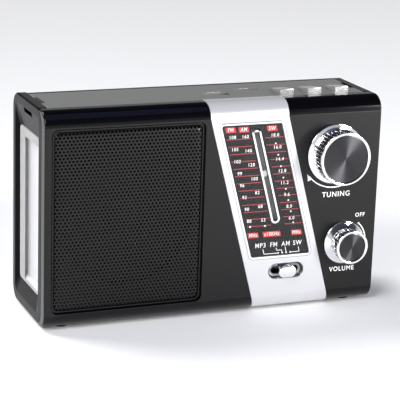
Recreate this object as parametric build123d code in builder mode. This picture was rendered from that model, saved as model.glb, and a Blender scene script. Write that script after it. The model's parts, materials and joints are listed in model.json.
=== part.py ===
"""Portable table radio for AM, FM and shortwave, with a side lamp.

A long upright box, rolled along its front and back edges. A silver fascia with the dial runs at a
slant over the front, between a perforated speaker grille and the tuning and volume knobs. Three keys,
a memory-stick socket and a card socket are in the top plate, a lamp is in the left end and the jacks
are in the right end. A telescopic aerial lies in a rebate behind the top plate.

Millimetres. X runs to the right, Y to the back, Z up. The origin is on the table, under the middle of
the whole object. Most sizes are given as (x, depth, height): depth is behind the front face, and
height is above the underside of the case.
"""

from build123d import *
import os
from math import atan2, cos, hypot, pi, sin, sqrt

os.makedirs("parts", exist_ok=True)

# ------------------------------------------------------------------ driving sizes

WIDTH, DEPTH, HEIGHT = 184.0, 59.0, 112.0  # the case, without feet, knobs and keys
CORNER = 8.0  # radius of the four long edges
WALL = 2.2
FOOT = 1.5  # how far the feet lift the case
KNOB_REACH = 13.5  # from the front face to the face of the tuning knob
GAP = 0.15  # between pieces that are fitted together
RUN = 0.05  # radial clearance of turning fits

HALF = WIDTH / 2
FRONT = KNOB_REACH - (DEPTH + KNOB_REACH) / 2  # Y of the front face

FRAME = 4.8  # thickness of an end frame
END = HALF - FRAME  # x of the inner face of an end frame
FRAME_FRONT = 6.0  # depth where an end frame starts
SPLIT = 12.0  # depth of the joint between front and rear shell
PLATE_BACK = 47.5  # depth of the back edge of the top plate

REBATE_FRONT, REBATE_FLOOR = 49.8, 102.8  # depth and height of the aerial's rebate

SLANT = 0.27  # sideways per unit of height, of the fascia and all on it
FASCIA_WIDTH, FASCIA_TOP_X, FASCIA_BEND = 43.2, 16.6, 104.5
FASCIA_PROUD, FASCIA_SEAT = 0.4, 1.1
DIAL_WIDTH, DIAL_LOW, DIAL_HIGH = 33.6, 29.2, 100.8

TUNING = (65.8, 82.6)  # x, height
VOLUME = (73.4, 33.6)
SLIDER = (40.4, 20.6)
SLIDER_STEP = 2.3  # from one band to the next
SWITCH_SLOT = (20.4, 8.6)  # opening for the switch, lined by its bezel

TRACK = (27.0, 72.75)  # middle of the pointer's slot
TRAVEL = 46.0  # of the pointer, for half a turn of the drum
POINTER_REST = 1.2  # above the middle of the slot
DRUM_R = TRAVEL / pi  # radius of the cord on the drum
IDLER_R = 3.0
CORD_R = 0.25
CORD_DEPTH = 4.6

GRILLE = (-47.8, 55.8)  # centre, x and height
GRILLE_SIZE = (81.2, 95.6)
GRILLE_CORNER = 3.5

KEYS_X = (44.2, 60.1, 76.0)
KEYS_DEPTH = 22.8
KEY_SIZE = (8.0, 12.4)

ANTENNA = (-77.0, 54.0, 107.3)  # x, depth and height of the elbow
ANTENNA_R = (3.0, 2.6, 2.2, 1.8, 1.4)  # outer radii of the tubes
TUBE_WALL = 0.35

SCREWS = ((-82, 8), (-1, 8), (82, 8), (-80, 97), (-4.5, 97.5), (84, 93.5))

# ------------------------------------------------------------------ helpers


def front_plane(depth):
    """Plane facing the listener: local x is x, local y is height."""
    return Plane(origin=(0, FRONT + depth, FOOT), x_dir=(1, 0, 0), z_dir=(0, -1, 0))


def side_plane(x):
    """Plane facing right: local x is depth, local y is height."""
    return Plane(origin=(x, FRONT, FOOT), x_dir=(0, 1, 0), z_dir=(1, 0, 0))


def level(height):
    """Plane facing up: local x is x, local y is depth."""
    return Plane(origin=(0, FRONT, FOOT + height), x_dir=(1, 0, 0), z_dir=(0, 0, 1))


def corners(x0, y0, x1, y1, radius=0.0):
    """Rectangle between two corners of the active sketch."""
    with Locations(((x0 + x1) / 2, (y0 + y1) / 2)):
        if radius:
            RectangleRounded(x1 - x0, y1 - y0, radius)
        else:
            Rectangle(x1 - x0, y1 - y0)


def block(x0, x1, depth0, depth1, height0, height1, mode=Mode.ADD):
    """Box from its ranges of x, depth and height."""
    with BuildSketch(level(height0)) as base:
        corners(x0, depth0, x1, depth1)
    extrude(base.sketch, amount=height1 - height0, mode=mode)


def body_profile(inset=0.0):
    """Outline of the case on a side plane, inset all round."""
    corners(inset, inset, DEPTH - inset, HEIGHT - inset, CORNER - inset)


def frame_profile(inset=0.0):
    """Outline of an end frame on a side plane."""
    corners(FRAME_FRONT + inset, inset, DEPTH - inset, HEIGHT - inset, CORNER - inset)


def round_bar(places, radius, depth0, depth1, mode=Mode.ADD):
    """Round bars along the depth, at (x, height) places."""
    with BuildSketch(front_plane(depth0)) as ends:
        with Locations(*places):
            Circle(radius)
    extrude(ends.sketch, amount=depth0 - depth1, mode=mode)


def fascia_x(height):
    """x of the fascia's middle line at a height."""
    return FASCIA_TOP_X + max(0.0, FASCIA_BEND - height) * SLANT


def band_outline(grow=0.0):
    """The slanted fascia on a front plane, straight above its bend."""
    half = FASCIA_WIDTH / 2 + grow
    low, high = -3.0, HEIGHT + 3.0
    Polygon(
        (fascia_x(low) - half, low),
        (fascia_x(low) + half, low),
        (fascia_x(FASCIA_BEND) + half, FASCIA_BEND),
        (fascia_x(high) + half, high),
        (fascia_x(high) - half, high),
        (fascia_x(FASCIA_BEND) - half, FASCIA_BEND),
        align=None,
    )


def dial_outline(grow=0.0):
    """The slanted dial window on a front plane."""
    half, low, high = DIAL_WIDTH / 2 + grow, DIAL_LOW - grow, DIAL_HIGH + grow
    window = Polygon(
        (fascia_x(low) - half, low),
        (fascia_x(low) + half, low),
        (fascia_x(high) + half, high),
        (fascia_x(high) - half, high),
        align=None,
    )
    fillet(window.vertices(), 1.2)


def on_track(along, across=0.0):
    """(x, height) of a point along the pointer's slot, upwards, and to its right."""
    length = hypot(SLANT, 1)
    up, right = (-SLANT / length, 1 / length), (1 / length, SLANT / length)
    return (
        TRACK[0] + along * up[0] + across * right[0],
        TRACK[1] + along * up[1] + across * right[1],
    )


TRACK_TILT = 90 + atan2(SLANT, 1) * 180 / pi  # of the slot's length, on a front plane


def track_slot(length, width, along=0.0, across=0.0):
    """Rounded slot that lies along the track, on a front plane."""
    with Locations(on_track(along, across)):
        SlotOverall(length, width, rotation=TRACK_TILT)


def save(builder, name):
    """Labels a finished piece and writes it as its own node."""
    builder.part.label = name
    export_step(builder.part, f"parts/{name}.step")


# ------------------------------------------------------------------ case

BAFFLE_BACK = 4.0  # depth behind the speaker board
GRILLE_SEAT = 2.0  # depth of the pocket that holds the grille
SPEAKER_HOLE_R = 35.0
BOSS_R, BOSS_BACK, PILOT_R = 3.0, 50.0, 1.1
STANDOFFS = ((12, 12), (82, 14), (12, 88), (84, 60))
BOARD_DEPTH = 20.0

with BuildPart() as fascia_pocket:
    with BuildSketch(front_plane(-5)):
        band_outline(0.1)
    extrude(amount=-(SPLIT + 6))
    with BuildSketch(side_plane(-HALF)):
        body_profile(FASCIA_SEAT)
    extrude(amount=WIDTH, mode=Mode.SUBTRACT)

with BuildPart() as front_shell:
    with BuildSketch(side_plane(-HALF)):
        body_profile()
    extrude(amount=WIDTH)
    fillet(front_shell.faces().filter_by(Axis.X).edges(), 0.8)
    with BuildSketch(side_plane(WALL - HALF)):
        body_profile(WALL)
    extrude(amount=WIDTH - 2 * WALL, mode=Mode.SUBTRACT)
    block(-HALF, HALF, SPLIT, DEPTH, 0, HEIGHT, mode=Mode.SUBTRACT)
    for x in (-HALF, END - GAP):
        with BuildSketch(side_plane(x)):
            frame_profile(-0.05)
        extrude(amount=FRAME + GAP, mode=Mode.SUBTRACT)
    block(-89, -4.5, WALL, BAFFLE_BACK, 4, 108)
    with BuildSketch(front_plane(-1)):
        with Locations(GRILLE):
            RectangleRounded(*GRILLE_SIZE, GRILLE_CORNER)
    extrude(amount=-(1 + GRILLE_SEAT), mode=Mode.SUBTRACT)
    round_bar([GRILLE], SPEAKER_HOLE_R, 0, BAFFLE_BACK, mode=Mode.SUBTRACT)
    add(fascia_pocket.part, mode=Mode.SUBTRACT)
    with BuildSketch(front_plane(0)):
        track_slot(57, 13, across=2.6)
        with Locations(SLIDER):
            SlotOverall(*SWITCH_SLOT)
        with Locations(TUNING):
            Circle(4.2)
        with Locations(VOLUME):
            Circle(3.8)
    extrude(amount=-WALL - 1, mode=Mode.SUBTRACT)
    round_bar(SCREWS, BOSS_R, WALL - 0.1, BOSS_BACK)
    round_bar(SCREWS, PILOT_R, BOSS_BACK - 12, BOSS_BACK, mode=Mode.SUBTRACT)
    round_bar(STANDOFFS, 2.8, WALL, BOARD_DEPTH)
    round_bar(STANDOFFS, 1.0, BOARD_DEPTH - 8, BOARD_DEPTH, mode=Mode.SUBTRACT)
save(front_shell, "front_shell")

BAY = (-82.0, -12.0, 18.0, 38.6)  # x and height ranges inside the battery bay
BAY_FRONT = 36.8
BAY_WALL = 1.5
DOOR_T = 1.8
DOOR_LAP = 3.0  # how far the door laps over the bay's mouth

with BuildPart() as rear_shell:
    with BuildSketch(side_plane(-END + 0.1)):
        body_profile()
    extrude(amount=2 * END - 0.2)
    with BuildSketch(side_plane(-END)):
        corners(WALL, WALL, DEPTH - WALL, REBATE_FLOOR - WALL, CORNER - WALL)
        corners(WALL, WALL, REBATE_FRONT - WALL, HEIGHT - WALL, CORNER - WALL)
    extrude(amount=2 * END, mode=Mode.SUBTRACT)
    block(-END, END, 0, SPLIT + 0.05, -1, HEIGHT + 1, mode=Mode.SUBTRACT)
    block(-END, END, 0, PLATE_BACK + GAP, HEIGHT - WALL - 0.1, HEIGHT + 1, mode=Mode.SUBTRACT)
    block(-END, END, REBATE_FRONT, DEPTH + 1, REBATE_FLOOR, HEIGHT + 1, mode=Mode.SUBTRACT)
    # ledge under the back edge of the top plate
    block(-END + 0.2, END - 0.2, PLATE_BACK - 4, REBATE_FRONT - WALL, 107.6, 109.7)
    # battery bay, open to the back
    block(
        BAY[0] - BAY_WALL, BAY[1] + BAY_WALL,
        BAY_FRONT - BAY_WALL, DEPTH - WALL,
        BAY[2] - BAY_WALL, BAY[3] + BAY_WALL,
    )
    block(BAY[0], BAY[1], BAY_FRONT, DEPTH + 1, BAY[2], BAY[3], mode=Mode.SUBTRACT)
    with BuildSketch(front_plane(DEPTH)):
        corners(
            BAY[0] - DOOR_LAP, BAY[2] - DOOR_LAP,
            BAY[1] + DOOR_LAP, BAY[3] + DOOR_LAP, 2.0,
        )
    extrude(amount=DOOR_T, mode=Mode.SUBTRACT)
    # cooling slots behind the speaker
    with BuildSketch(front_plane(DEPTH + 1)):
        with Locations((GRILLE[0], 68)):
            with GridLocations(0, 6.0, 1, 7):
                SlotOverall(46, 2.2)
    extrude(amount=WALL + 2, mode=Mode.SUBTRACT)
    # screw holes with sunk heads, and the aerial's stud hole
    round_bar(SCREWS, 1.5, BOSS_BACK, DEPTH + 1, mode=Mode.SUBTRACT)
    round_bar(SCREWS, 2.9, DEPTH - 1.1, DEPTH + 1, mode=Mode.SUBTRACT)
    with BuildSketch(level(REBATE_FLOOR - 8)):
        with Locations((ANTENNA[0], ANTENNA[1])):
            Circle(2.0 + RUN)
    extrude(amount=9, mode=Mode.SUBTRACT)
save(rear_shell, "rear_shell")

# ------------------------------------------------------------------ end frames

RIM = (11.0, 5.2, 54.4, 107.5)  # inner edge of the rim: depth, height to depth, height
LAMP = (15.4, 13.4, 50.4, 96.0)  # the lamp's opening
RECESS = 2.0  # how deep the sloped surround goes
STRAP = (24.0, 38.6)  # depth range of the strap slots
STRAP_HEIGHT = (104.9, 107.3)


def end_frame(side):
    """One end frame; side is -1 for the left and +1 for the right. The floor stays closed."""
    outer, inner = side * HALF, side * END
    with BuildPart() as made:
        with BuildSketch(side_plane(min(outer, inner))):
            frame_profile()
        extrude(amount=FRAME)
        rim_face = made.faces().sort_by(Axis.X)[0 if side < 0 else -1]
        fillet(rim_face.edges(), 0.9)
        with BuildSketch(side_plane(outer)):
            corners(*RIM, 4.0)
        with BuildSketch(side_plane(outer - side * RECESS)):
            corners(*LAMP, 2.5)
        loft(mode=Mode.SUBTRACT)
        with BuildSketch(side_plane(min(outer, inner) - 1)):
            corners(STRAP[0], STRAP_HEIGHT[0], STRAP[1], STRAP_HEIGHT[1])
        extrude(amount=FRAME + 2, mode=Mode.SUBTRACT)
    return made.part


with BuildPart() as end_frame_left:
    add(end_frame(-1))
    with BuildSketch(side_plane(-HALF)):
        corners(*LAMP, 2.5)
    extrude(amount=FRAME + 1, mode=Mode.SUBTRACT)
save(end_frame_left, "end_frame_left")

JACK_DEPTH = 33.0
EAR_JACK, POWER_JACK, LAMP_SWITCH = 30.0, 46.0, 76.0  # heights on the right end
EAR_R, POWER_R = 1.8, 2.85

with BuildPart() as end_frame_right:
    add(end_frame(1))
    # the aerial's rebate runs out through this end
    block(END - 1, HALF + 1, REBATE_FRONT, DEPTH + 1, REBATE_FLOOR, HEIGHT + 1, mode=Mode.SUBTRACT)
    with BuildSketch(side_plane(END - 1)):
        with Locations((JACK_DEPTH, EAR_JACK)):
            Circle(EAR_R + 0.9)
        with Locations((JACK_DEPTH, POWER_JACK)):
            Circle(POWER_R + 0.9)
        with Locations((JACK_DEPTH, LAMP_SWITCH)):
            Rectangle(5.0, 13.0)
    extrude(amount=FRAME + 2, mode=Mode.SUBTRACT)
save(end_frame_right, "end_frame_right")

# ------------------------------------------------------------------ top plate

USB = (7.4, 24.4)  # x, depth of the memory-stick socket
CARD = (27.4, 31.2)

with BuildPart() as top_plate:
    block(
        -END + GAP, END - GAP,
        SPLIT + GAP, PLATE_BACK,
        HEIGHT - WALL, HEIGHT,
    )
    fillet(top_plate.edges().filter_by(Axis.Z), 0.6)
    fillet(top_plate.faces().sort_by(Axis.Z)[-1].edges(), 0.35)
    with BuildSketch(level(HEIGHT - WALL - 1)):
        with Locations(USB):
            Rectangle(14.2, 5.6)
        with Locations(CARD):
            Rectangle(13.0, 1.9)
        for x in KEYS_X:
            with Locations((x, KEYS_DEPTH)):
                RectangleRounded(KEY_SIZE[0] + 0.5, KEY_SIZE[1] + 0.5, 0.8)
        for x in (-END + 1.2, END - 1.2):
            with Locations((x, sum(STRAP) / 2)):
                Rectangle(2.4, STRAP[1] - STRAP[0])
    extrude(amount=WALL + 2, mode=Mode.SUBTRACT)
save(top_plate, "top_plate")

# ------------------------------------------------------------------ fascia and dial

with BuildPart() as dial_fascia:
    with BuildSketch(front_plane(-5)):
        band_outline()
    extrude(amount=-(SPLIT + 5))
    with BuildSketch(side_plane(-HALF)):
        corners(
            -FASCIA_PROUD, -FASCIA_PROUD,
            DEPTH, HEIGHT + FASCIA_PROUD, CORNER + FASCIA_PROUD,
        )
    extrude(amount=WIDTH, mode=Mode.INTERSECT)
    with BuildSketch(side_plane(-HALF)):
        body_profile(FASCIA_SEAT - 0.02)
    extrude(amount=WIDTH, mode=Mode.SUBTRACT)
    with BuildSketch(front_plane(-5)):
        dial_outline()
        with Locations(SLIDER):
            SlotOverall(*SWITCH_SLOT)
    extrude(amount=-(SPLIT + 5), mode=Mode.SUBTRACT)
save(dial_fascia, "dial_fascia")

DIAL_T = 0.8
SLOT_LENGTH, SLOT_WIDTH = 51.4, 2.8

with BuildPart() as dial_scale:
    with BuildSketch(front_plane(FASCIA_SEAT - DIAL_T)):
        dial_outline(-GAP)
        with Locations(TRACK):
            SlotOverall(SLOT_LENGTH, SLOT_WIDTH, rotation=TRACK_TILT, mode=Mode.SUBTRACT)
    extrude(amount=-DIAL_T)
save(dial_scale, "dial_scale")

with BuildPart() as dial_lens:
    with BuildSketch(front_plane(-0.2)):
        dial_outline(-GAP)
    extrude(amount=-0.45)
save(dial_lens, "dial_lens")

BEZEL_LIP = 0.25  # how far the bezel stands proud of the fascia
with BuildPart() as switch_bezel:
    with BuildSketch(front_plane(-FASCIA_PROUD - BEZEL_LIP)):
        with Locations(SLIDER):
            SlotOverall(SWITCH_SLOT[0] - 0.1, SWITCH_SLOT[1] - 0.1)
            SlotOverall(SWITCH_SLOT[0] - 1.7, SWITCH_SLOT[1] - 1.7, mode=Mode.SUBTRACT)
    extrude(amount=-(FASCIA_PROUD + BEZEL_LIP + WALL + 0.6))
    with BuildSketch(front_plane(WALL + 0.6)):
        with Locations(SLIDER):
            SlotOverall(SWITCH_SLOT[0] + 2.4, SWITCH_SLOT[1] + 2.4)
            SlotOverall(SWITCH_SLOT[0] - 1.7, SWITCH_SLOT[1] - 1.7, mode=Mode.SUBTRACT)
    extrude(amount=-0.8)
save(switch_bezel, "switch_bezel")

# ------------------------------------------------------------------ pointer and its cord drive

CORD_ACROSS = 5.2  # the cord's run, to the right of the slot
IDLER_ALONG = 29.6  # from the middle of the slot to an idler
IDLER_FLANGE, IDLER_T = 3.6, 2.0
BRACKET_DEPTH = 7.0
IDLERS = [on_track(a, CORD_ACROSS + IDLER_R) for a in (IDLER_ALONG, -IDLER_ALONG)]

with BuildPart() as dial_pointer:
    with BuildSketch(front_plane(1.3)):
        with Locations(on_track(POINTER_REST)):
            Rectangle(3.2, 2.5, rotation=TRACK_TILT)
        with Locations(on_track(POINTER_REST, 3.7)):
            Rectangle(1.6, 6.0, rotation=TRACK_TILT)
    extrude(amount=-1.4)
    with BuildSketch(front_plane(1.3)):
        with Locations(on_track(POINTER_REST, CORD_ACROSS + 0.4)):
            Rectangle(3.6, 2.2, rotation=TRACK_TILT)
    extrude(amount=-4.6)
    clip = on_track(POINTER_REST, CORD_ACROSS)
    with BuildSketch(
        Plane(origin=(clip[0], FRONT + CORD_DEPTH, FOOT + clip[1]), z_dir=(-SLANT, 0, 1))
    ):
        Circle(CORD_R + 0.1)
    extrude(amount=5, both=True, mode=Mode.SUBTRACT)
save(dial_pointer, "dial_pointer")


def idler(place):
    """Grooved idler that turns on its post."""
    with BuildPart() as made:
        with BuildSketch(front_plane(CORD_DEPTH - IDLER_T / 2)):
            with Locations(place):
                Circle(IDLER_FLANGE)
                Circle(1.0 + RUN, mode=Mode.SUBTRACT)
        extrude(amount=-IDLER_T)
        with BuildSketch(front_plane(CORD_DEPTH - 0.4)):
            with Locations(place):
                Circle(IDLER_FLANGE + 1)
                Circle(IDLER_R - CORD_R - 0.1, mode=Mode.SUBTRACT)
        extrude(amount=-0.8, mode=Mode.SUBTRACT)
    return made


save(idler(IDLERS[0]), "idler_upper")
save(idler(IDLERS[1]), "idler_lower")

with BuildPart() as dial_bracket:
    with BuildSketch(front_plane(BRACKET_DEPTH)):
        with Locations(on_track(0, 10.5)):
            Rectangle(66, 10.0, rotation=TRACK_TILT)
            Rectangle(44, 4.0, rotation=TRACK_TILT, mode=Mode.SUBTRACT)
    extrude(amount=-1.0)
    round_bar(IDLERS, 1.0, CORD_DEPTH - IDLER_T / 2 - 0.3, BRACKET_DEPTH)
    round_bar(IDLERS, 1.8, CORD_DEPTH + IDLER_T / 2 + 0.1, BRACKET_DEPTH)
    with BuildSketch(front_plane(WALL)):
        with Locations(on_track(27.0, 13.4), on_track(-25.0, 12.5)):
            Circle(1.5)
    extrude(amount=WALL - BRACKET_DEPTH)
save(dial_bracket, "dial_bracket")


def tangent_run(first, second):
    """Ends of the straight run between two circles (x, height, radius), on the outside of a belt
    that goes round them counterclockwise."""
    (x1, y1, r1), (x2, y2, r2) = first, second
    heading = atan2(y2 - y1, x2 - x1)
    swing = (r1 - r2) / hypot(x2 - x1, y2 - y1)
    away = heading - atan2(sqrt(1 - swing**2), swing)
    return (
        (x1 + r1 * cos(away), y1 + r1 * sin(away)),
        (x2 + r2 * cos(away), y2 + r2 * sin(away)),
    )


wheels = [
    (*IDLERS[1], IDLER_R),
    (*TUNING, DRUM_R),
    (*IDLERS[0], IDLER_R),
]
runs = [tangent_run(wheels[i], wheels[(i + 1) % 3]) for i in range(3)]
with BuildPart() as dial_cord:
    with BuildLine(front_plane(CORD_DEPTH)) as belt:
        for i, (start, end) in enumerate(runs):
            Line(start, end)
            x, y, r = wheels[(i + 1) % 3]
            leave = runs[(i + 1) % 3][0]
            a0 = atan2(end[1] - y, end[0] - x)
            turn = (atan2(leave[1] - y, leave[0] - x) - a0) % (2 * pi)
            middle = (x + r * cos(a0 + turn / 2), y + r * sin(a0 + turn / 2))
            ThreePointArc(end, middle, leave)
    with BuildSketch(Plane(origin=belt.line @ 0, z_dir=belt.line % 0)):
        Circle(CORD_R)
    sweep(path=belt.line)
save(dial_cord, "dial_cord")

# ------------------------------------------------------------------ tuning

TUNING_BASE_R, TUNING_RIM_R, TUNING_CAP_R = 16.0, 14.2, 12.4
SHAFT_R = 3.0
CAPACITOR_FRONT = 9.0


def knob(place, base_r, neck_r, rim_r, cap_r, reach, ribs):
    """Turned knob with a flared foot, a ribbed waist and a bright rim round a sunk cap."""
    x, height = place
    with BuildPart() as made:
        with BuildSketch(Plane(origin=(x, FRONT, FOOT + height), x_dir=(1, 0, 0), z_dir=(0, 0, 1))):
            with BuildLine():
                Polyline(
                    (0, -0.4),
                    (base_r, -0.4),
                    (base_r, -1.3),
                    (neck_r, -3.0),
                    (rim_r - 0.5, 1.6 - reach),
                    (rim_r, 1.2 - reach),
                    (rim_r, 0.5 - reach),
                    (rim_r - 0.5, -reach),
                    (cap_r + 0.5, -reach),
                    (cap_r + 0.1, 0.9 - reach),
                    (0, 0.9 - reach),
                    (0, -0.4),
                )
            make_face()
        revolve(axis=Axis((x, 0, FOOT + height), (0, 1, 0)))
        with BuildSketch(front_plane(-3.4)):
            with Locations(place):
                with PolarLocations(neck_r + 0.35, ribs):
                    Circle(0.55)
        extrude(amount=reach - 5.4, mode=Mode.SUBTRACT)
        round_bar([place], SHAFT_R + 0.03, 3.5 - reach, 0, mode=Mode.SUBTRACT)
    return made


def knob_cap(place, cap_r, reach):
    """Thin spun disc in the knob's face."""
    with BuildPart() as made:
        round_bar([place], cap_r, 0.3 - reach, 0.9 - reach)
    return made


save(knob(TUNING, TUNING_BASE_R, 14.3, TUNING_RIM_R, TUNING_CAP_R, KNOB_REACH, 48), "tuning_knob")
save(knob_cap(TUNING, TUNING_CAP_R, KNOB_REACH), "tuning_knob_cap")

with BuildPart() as tuning_shaft:
    round_bar([TUNING], SHAFT_R, 3.6 - KNOB_REACH, CAPACITOR_FRONT + 6)
save(tuning_shaft, "tuning_shaft")

with BuildPart() as tuning_drum:
    round_bar([TUNING], DRUM_R + 0.9, CORD_DEPTH - 1.3, CORD_DEPTH + 1.3)
    with BuildSketch(front_plane(CORD_DEPTH - 0.4)):
        with Locations(TUNING):
            Circle(DRUM_R + 2)
            Circle(DRUM_R - CORD_R - 0.1, mode=Mode.SUBTRACT)
    extrude(amount=-0.8, mode=Mode.SUBTRACT)
    round_bar([TUNING], 5.0, CORD_DEPTH + 1.3, CORD_DEPTH + 3.4)
    with BuildSketch(front_plane(0)):
        with Locations(TUNING):
            with PolarLocations(9.0, 5):
                Circle(2.4)
            Circle(SHAFT_R + 0.03)
    extrude(amount=-12, mode=Mode.SUBTRACT)
save(tuning_drum, "tuning_drum")

with BuildPart() as tuning_capacitor:
    block(
        TUNING[0] - 10.5, TUNING[0] + 10.5,
        CAPACITOR_FRONT, BOARD_DEPTH,
        TUNING[1] - 10.5, TUNING[1] + 10.5,
    )
    fillet(tuning_capacitor.edges().filter_by(Axis.Y), 1.5)
    round_bar([TUNING], SHAFT_R + RUN, CAPACITOR_FRONT - 1, CAPACITOR_FRONT + 6.2, mode=Mode.SUBTRACT)
save(tuning_capacitor, "tuning_capacitor")

# ------------------------------------------------------------------ volume and band switch

VOLUME_REACH = 11.4
POT_FRONT = 10.5

save(knob(VOLUME, 11.6, 8.6, 9.1, 7.3, VOLUME_REACH, 34), "volume_knob")
save(knob_cap(VOLUME, 7.3, VOLUME_REACH), "volume_knob_cap")

with BuildPart() as volume_shaft:
    round_bar([VOLUME], SHAFT_R, 3.6 - VOLUME_REACH, POT_FRONT + 4)
save(volume_shaft, "volume_shaft")

with BuildPart() as volume_pot:
    round_bar([VOLUME], 8.2, POT_FRONT, BOARD_DEPTH)
    round_bar([VOLUME], 3.7, WALL + 0.8, POT_FRONT)
    round_bar([VOLUME], SHAFT_R + RUN, 0, POT_FRONT + 4.2, mode=Mode.SUBTRACT)
save(volume_pot, "volume_pot")

with BuildPart() as band_slider:
    with BuildSketch(front_plane(0.9)):
        with Locations(SLIDER):
            SlotOverall(9.2, 6.2)
    extrude(amount=4.0, taper=9)
    fillet(band_slider.faces().sort_by(Axis.Y)[0].edges(), 0.7)
    round_bar([SLIDER], 1.6, 0.9, 10.0)
save(band_slider, "band_slider")

with BuildPart() as band_switch:
    block(
        SLIDER[0] - 13.2, SLIDER[0] + 11.0, 8.4, BOARD_DEPTH,
        SLIDER[1] - 4.5, SLIDER[1] + 4.5,
    )
    block(
        SLIDER[0] - 6.6, SLIDER[0] + 4.2, 8.0, 10.4,
        SLIDER[1] - 1.8, SLIDER[1] + 1.8, mode=Mode.SUBTRACT,
    )
save(band_switch, "band_switch")

# ------------------------------------------------------------------ speaker

CONE_DEPTH, MAGNET_DEPTH = 17.5, 20.5


def turned(profile):
    """Revolves (radius, depth) points about the speaker's axis, into the active part."""
    with BuildSketch(
        Plane(origin=(GRILLE[0], FRONT, FOOT + GRILLE[1]), x_dir=(1, 0, 0), z_dir=(0, 0, 1))
    ) as half:
        with BuildLine():
            Polyline(*profile, close=True)
        make_face()
    revolve(half.sketch, axis=Axis((GRILLE[0], 0, FOOT + GRILLE[1]), (0, 1, 0)))


with BuildPart() as speaker_basket:
    turned(
        [
            (35.5, BAFFLE_BACK), (39.0, BAFFLE_BACK), (39.0, 5.2), (36.2, 5.2),
            (25.0, MAGNET_DEPTH), (12.0, MAGNET_DEPTH), (12.0, 19.3), (24.2, 19.3), (35.0, 5.6),
        ]
    )
    with BuildSketch(front_plane(9)):
        with Locations(GRILLE):
            with PolarLocations(27.0, 6, start_angle=30):
                SlotOverall(13, 6, rotation=90)
    extrude(amount=-10, mode=Mode.SUBTRACT)
save(speaker_basket, "speaker_basket")

with BuildPart() as speaker_cone:
    turned(
        [
            (31.0, 6.4), (33.0, 5.4), (34.6, 5.6), (34.4, 6.2), (33.0, 6.0), (31.2, 7.2),
            (11.0, CONE_DEPTH), (0, CONE_DEPTH), (0, 12.5), (5.5, 13.2), (9.8, 15.8),
        ]
    )
save(speaker_cone, "speaker_cone")

with BuildPart() as speaker_magnet:
    round_bar([GRILLE], 21.0, MAGNET_DEPTH, MAGNET_DEPTH + 1.5)
    round_bar([GRILLE], 22.5, MAGNET_DEPTH + 1.5, MAGNET_DEPTH + 10)
    round_bar([GRILLE], 20.0, MAGNET_DEPTH + 10, MAGNET_DEPTH + 13)
save(speaker_magnet, "speaker_magnet")

SPEAKER_FIX = [
    (GRILLE[0] + sx * 29.2, GRILLE[1] + sz * 29.2) for sx in (-1, 1) for sz in (-1, 1)
]
with BuildPart() as speaker_clips:
    round_bar(SPEAKER_FIX, 4.0, 5.25, 6.2)
    round_bar(SPEAKER_FIX, 2.0, 6.2, 7.6)
save(speaker_clips, "speaker_clips")

# Pressed steel grille: a flat field with its border bent back into the pocket.
GRILLE_DROP, GRILLE_BORDER = 1.2, 4.5
GRILLE_T = 0.6

with BuildPart() as speaker_grille:
    width, height = GRILLE_SIZE[0] - 0.8, GRILLE_SIZE[1] - 0.8
    inner = (width - 2 * GRILLE_BORDER, height - 2 * GRILLE_BORDER)
    for back, mode in ((0.0, Mode.ADD), (GRILLE_T, Mode.SUBTRACT)):
        with BuildSketch(front_plane(0.1 + GRILLE_DROP + back)):
            with Locations(GRILLE):
                RectangleRounded(width, height, GRILLE_CORNER - 0.4)
        with BuildSketch(front_plane(0.1 + back)):
            with Locations(GRILLE):
                RectangleRounded(*inner, 1.5)
        loft(mode=mode)
    with BuildSketch(front_plane(0.1 + GRILLE_DROP)):
        with Locations(GRILLE):
            RectangleRounded(width, height, GRILLE_CORNER - 0.4)
            RectangleRounded(width - 1.2, height - 1.2, GRILLE_CORNER - 1.0, mode=Mode.SUBTRACT)
    extrude(amount=-0.6)
    with BuildSketch(front_plane(0)):
        with Locations(GRILLE):
            with GridLocations(4.0, 4.0, 18, 21):
                Circle(1.25)
    extrude(amount=-4, mode=Mode.SUBTRACT)
save(speaker_grille, "speaker_grille")

# ------------------------------------------------------------------ lamp in the left end

LAMP_FLANGE = 1.2

with BuildPart() as lamp_diffuser:
    with BuildSketch(side_plane(RECESS - HALF)):
        corners(LAMP[0] + GAP, LAMP[1] + GAP, LAMP[2] - GAP, LAMP[3] - GAP, 2.3)
    extrude(amount=FRAME - RECESS)
    with BuildSketch(side_plane(-END)):
        corners(LAMP[0] - 3, LAMP[1] - 3, LAMP[2] + 3, LAMP[3] + 3, 2.5)
    extrude(amount=LAMP_FLANGE)
    with BuildSketch(side_plane(RECESS - HALF)):
        corners(LAMP[0] + 1, LAMP[1] + 1, LAMP[2] - 1, LAMP[3] - 1, 1.6)
    with BuildSketch(side_plane(RECESS - HALF + 2.4)):
        corners(LAMP[0] + 3.2, LAMP[1] + 3.2, LAMP[2] - 3.2, LAMP[3] - 3.2, 1.0)
    loft(mode=Mode.SUBTRACT)
save(lamp_diffuser, "lamp_diffuser")

LED_X = -END + LAMP_FLANGE + 0.4
LED_ROWS, LED_COLUMNS = 7, 3
with BuildPart() as lamp_board:
    with BuildSketch(side_plane(LED_X)):
        with Locations(((LAMP[0] + LAMP[2]) / 2, (LAMP[1] + LAMP[3]) / 2)):
            with GridLocations(10.5, 11.2, LED_COLUMNS, LED_ROWS):
                Rectangle(2.8, 3.5)
    extrude(amount=0.8)
    with BuildSketch(side_plane(LED_X + 0.8)):
        corners(LAMP[0], LAMP[1], LAMP[2], LAMP[3])
    extrude(amount=1.0)
save(lamp_board, "lamp_board")

# ------------------------------------------------------------------ right end

LAMP_SLIDER_TRAVEL = 4.0
PANEL = HALF - RECESS  # x of the floor of the right end's recess

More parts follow.
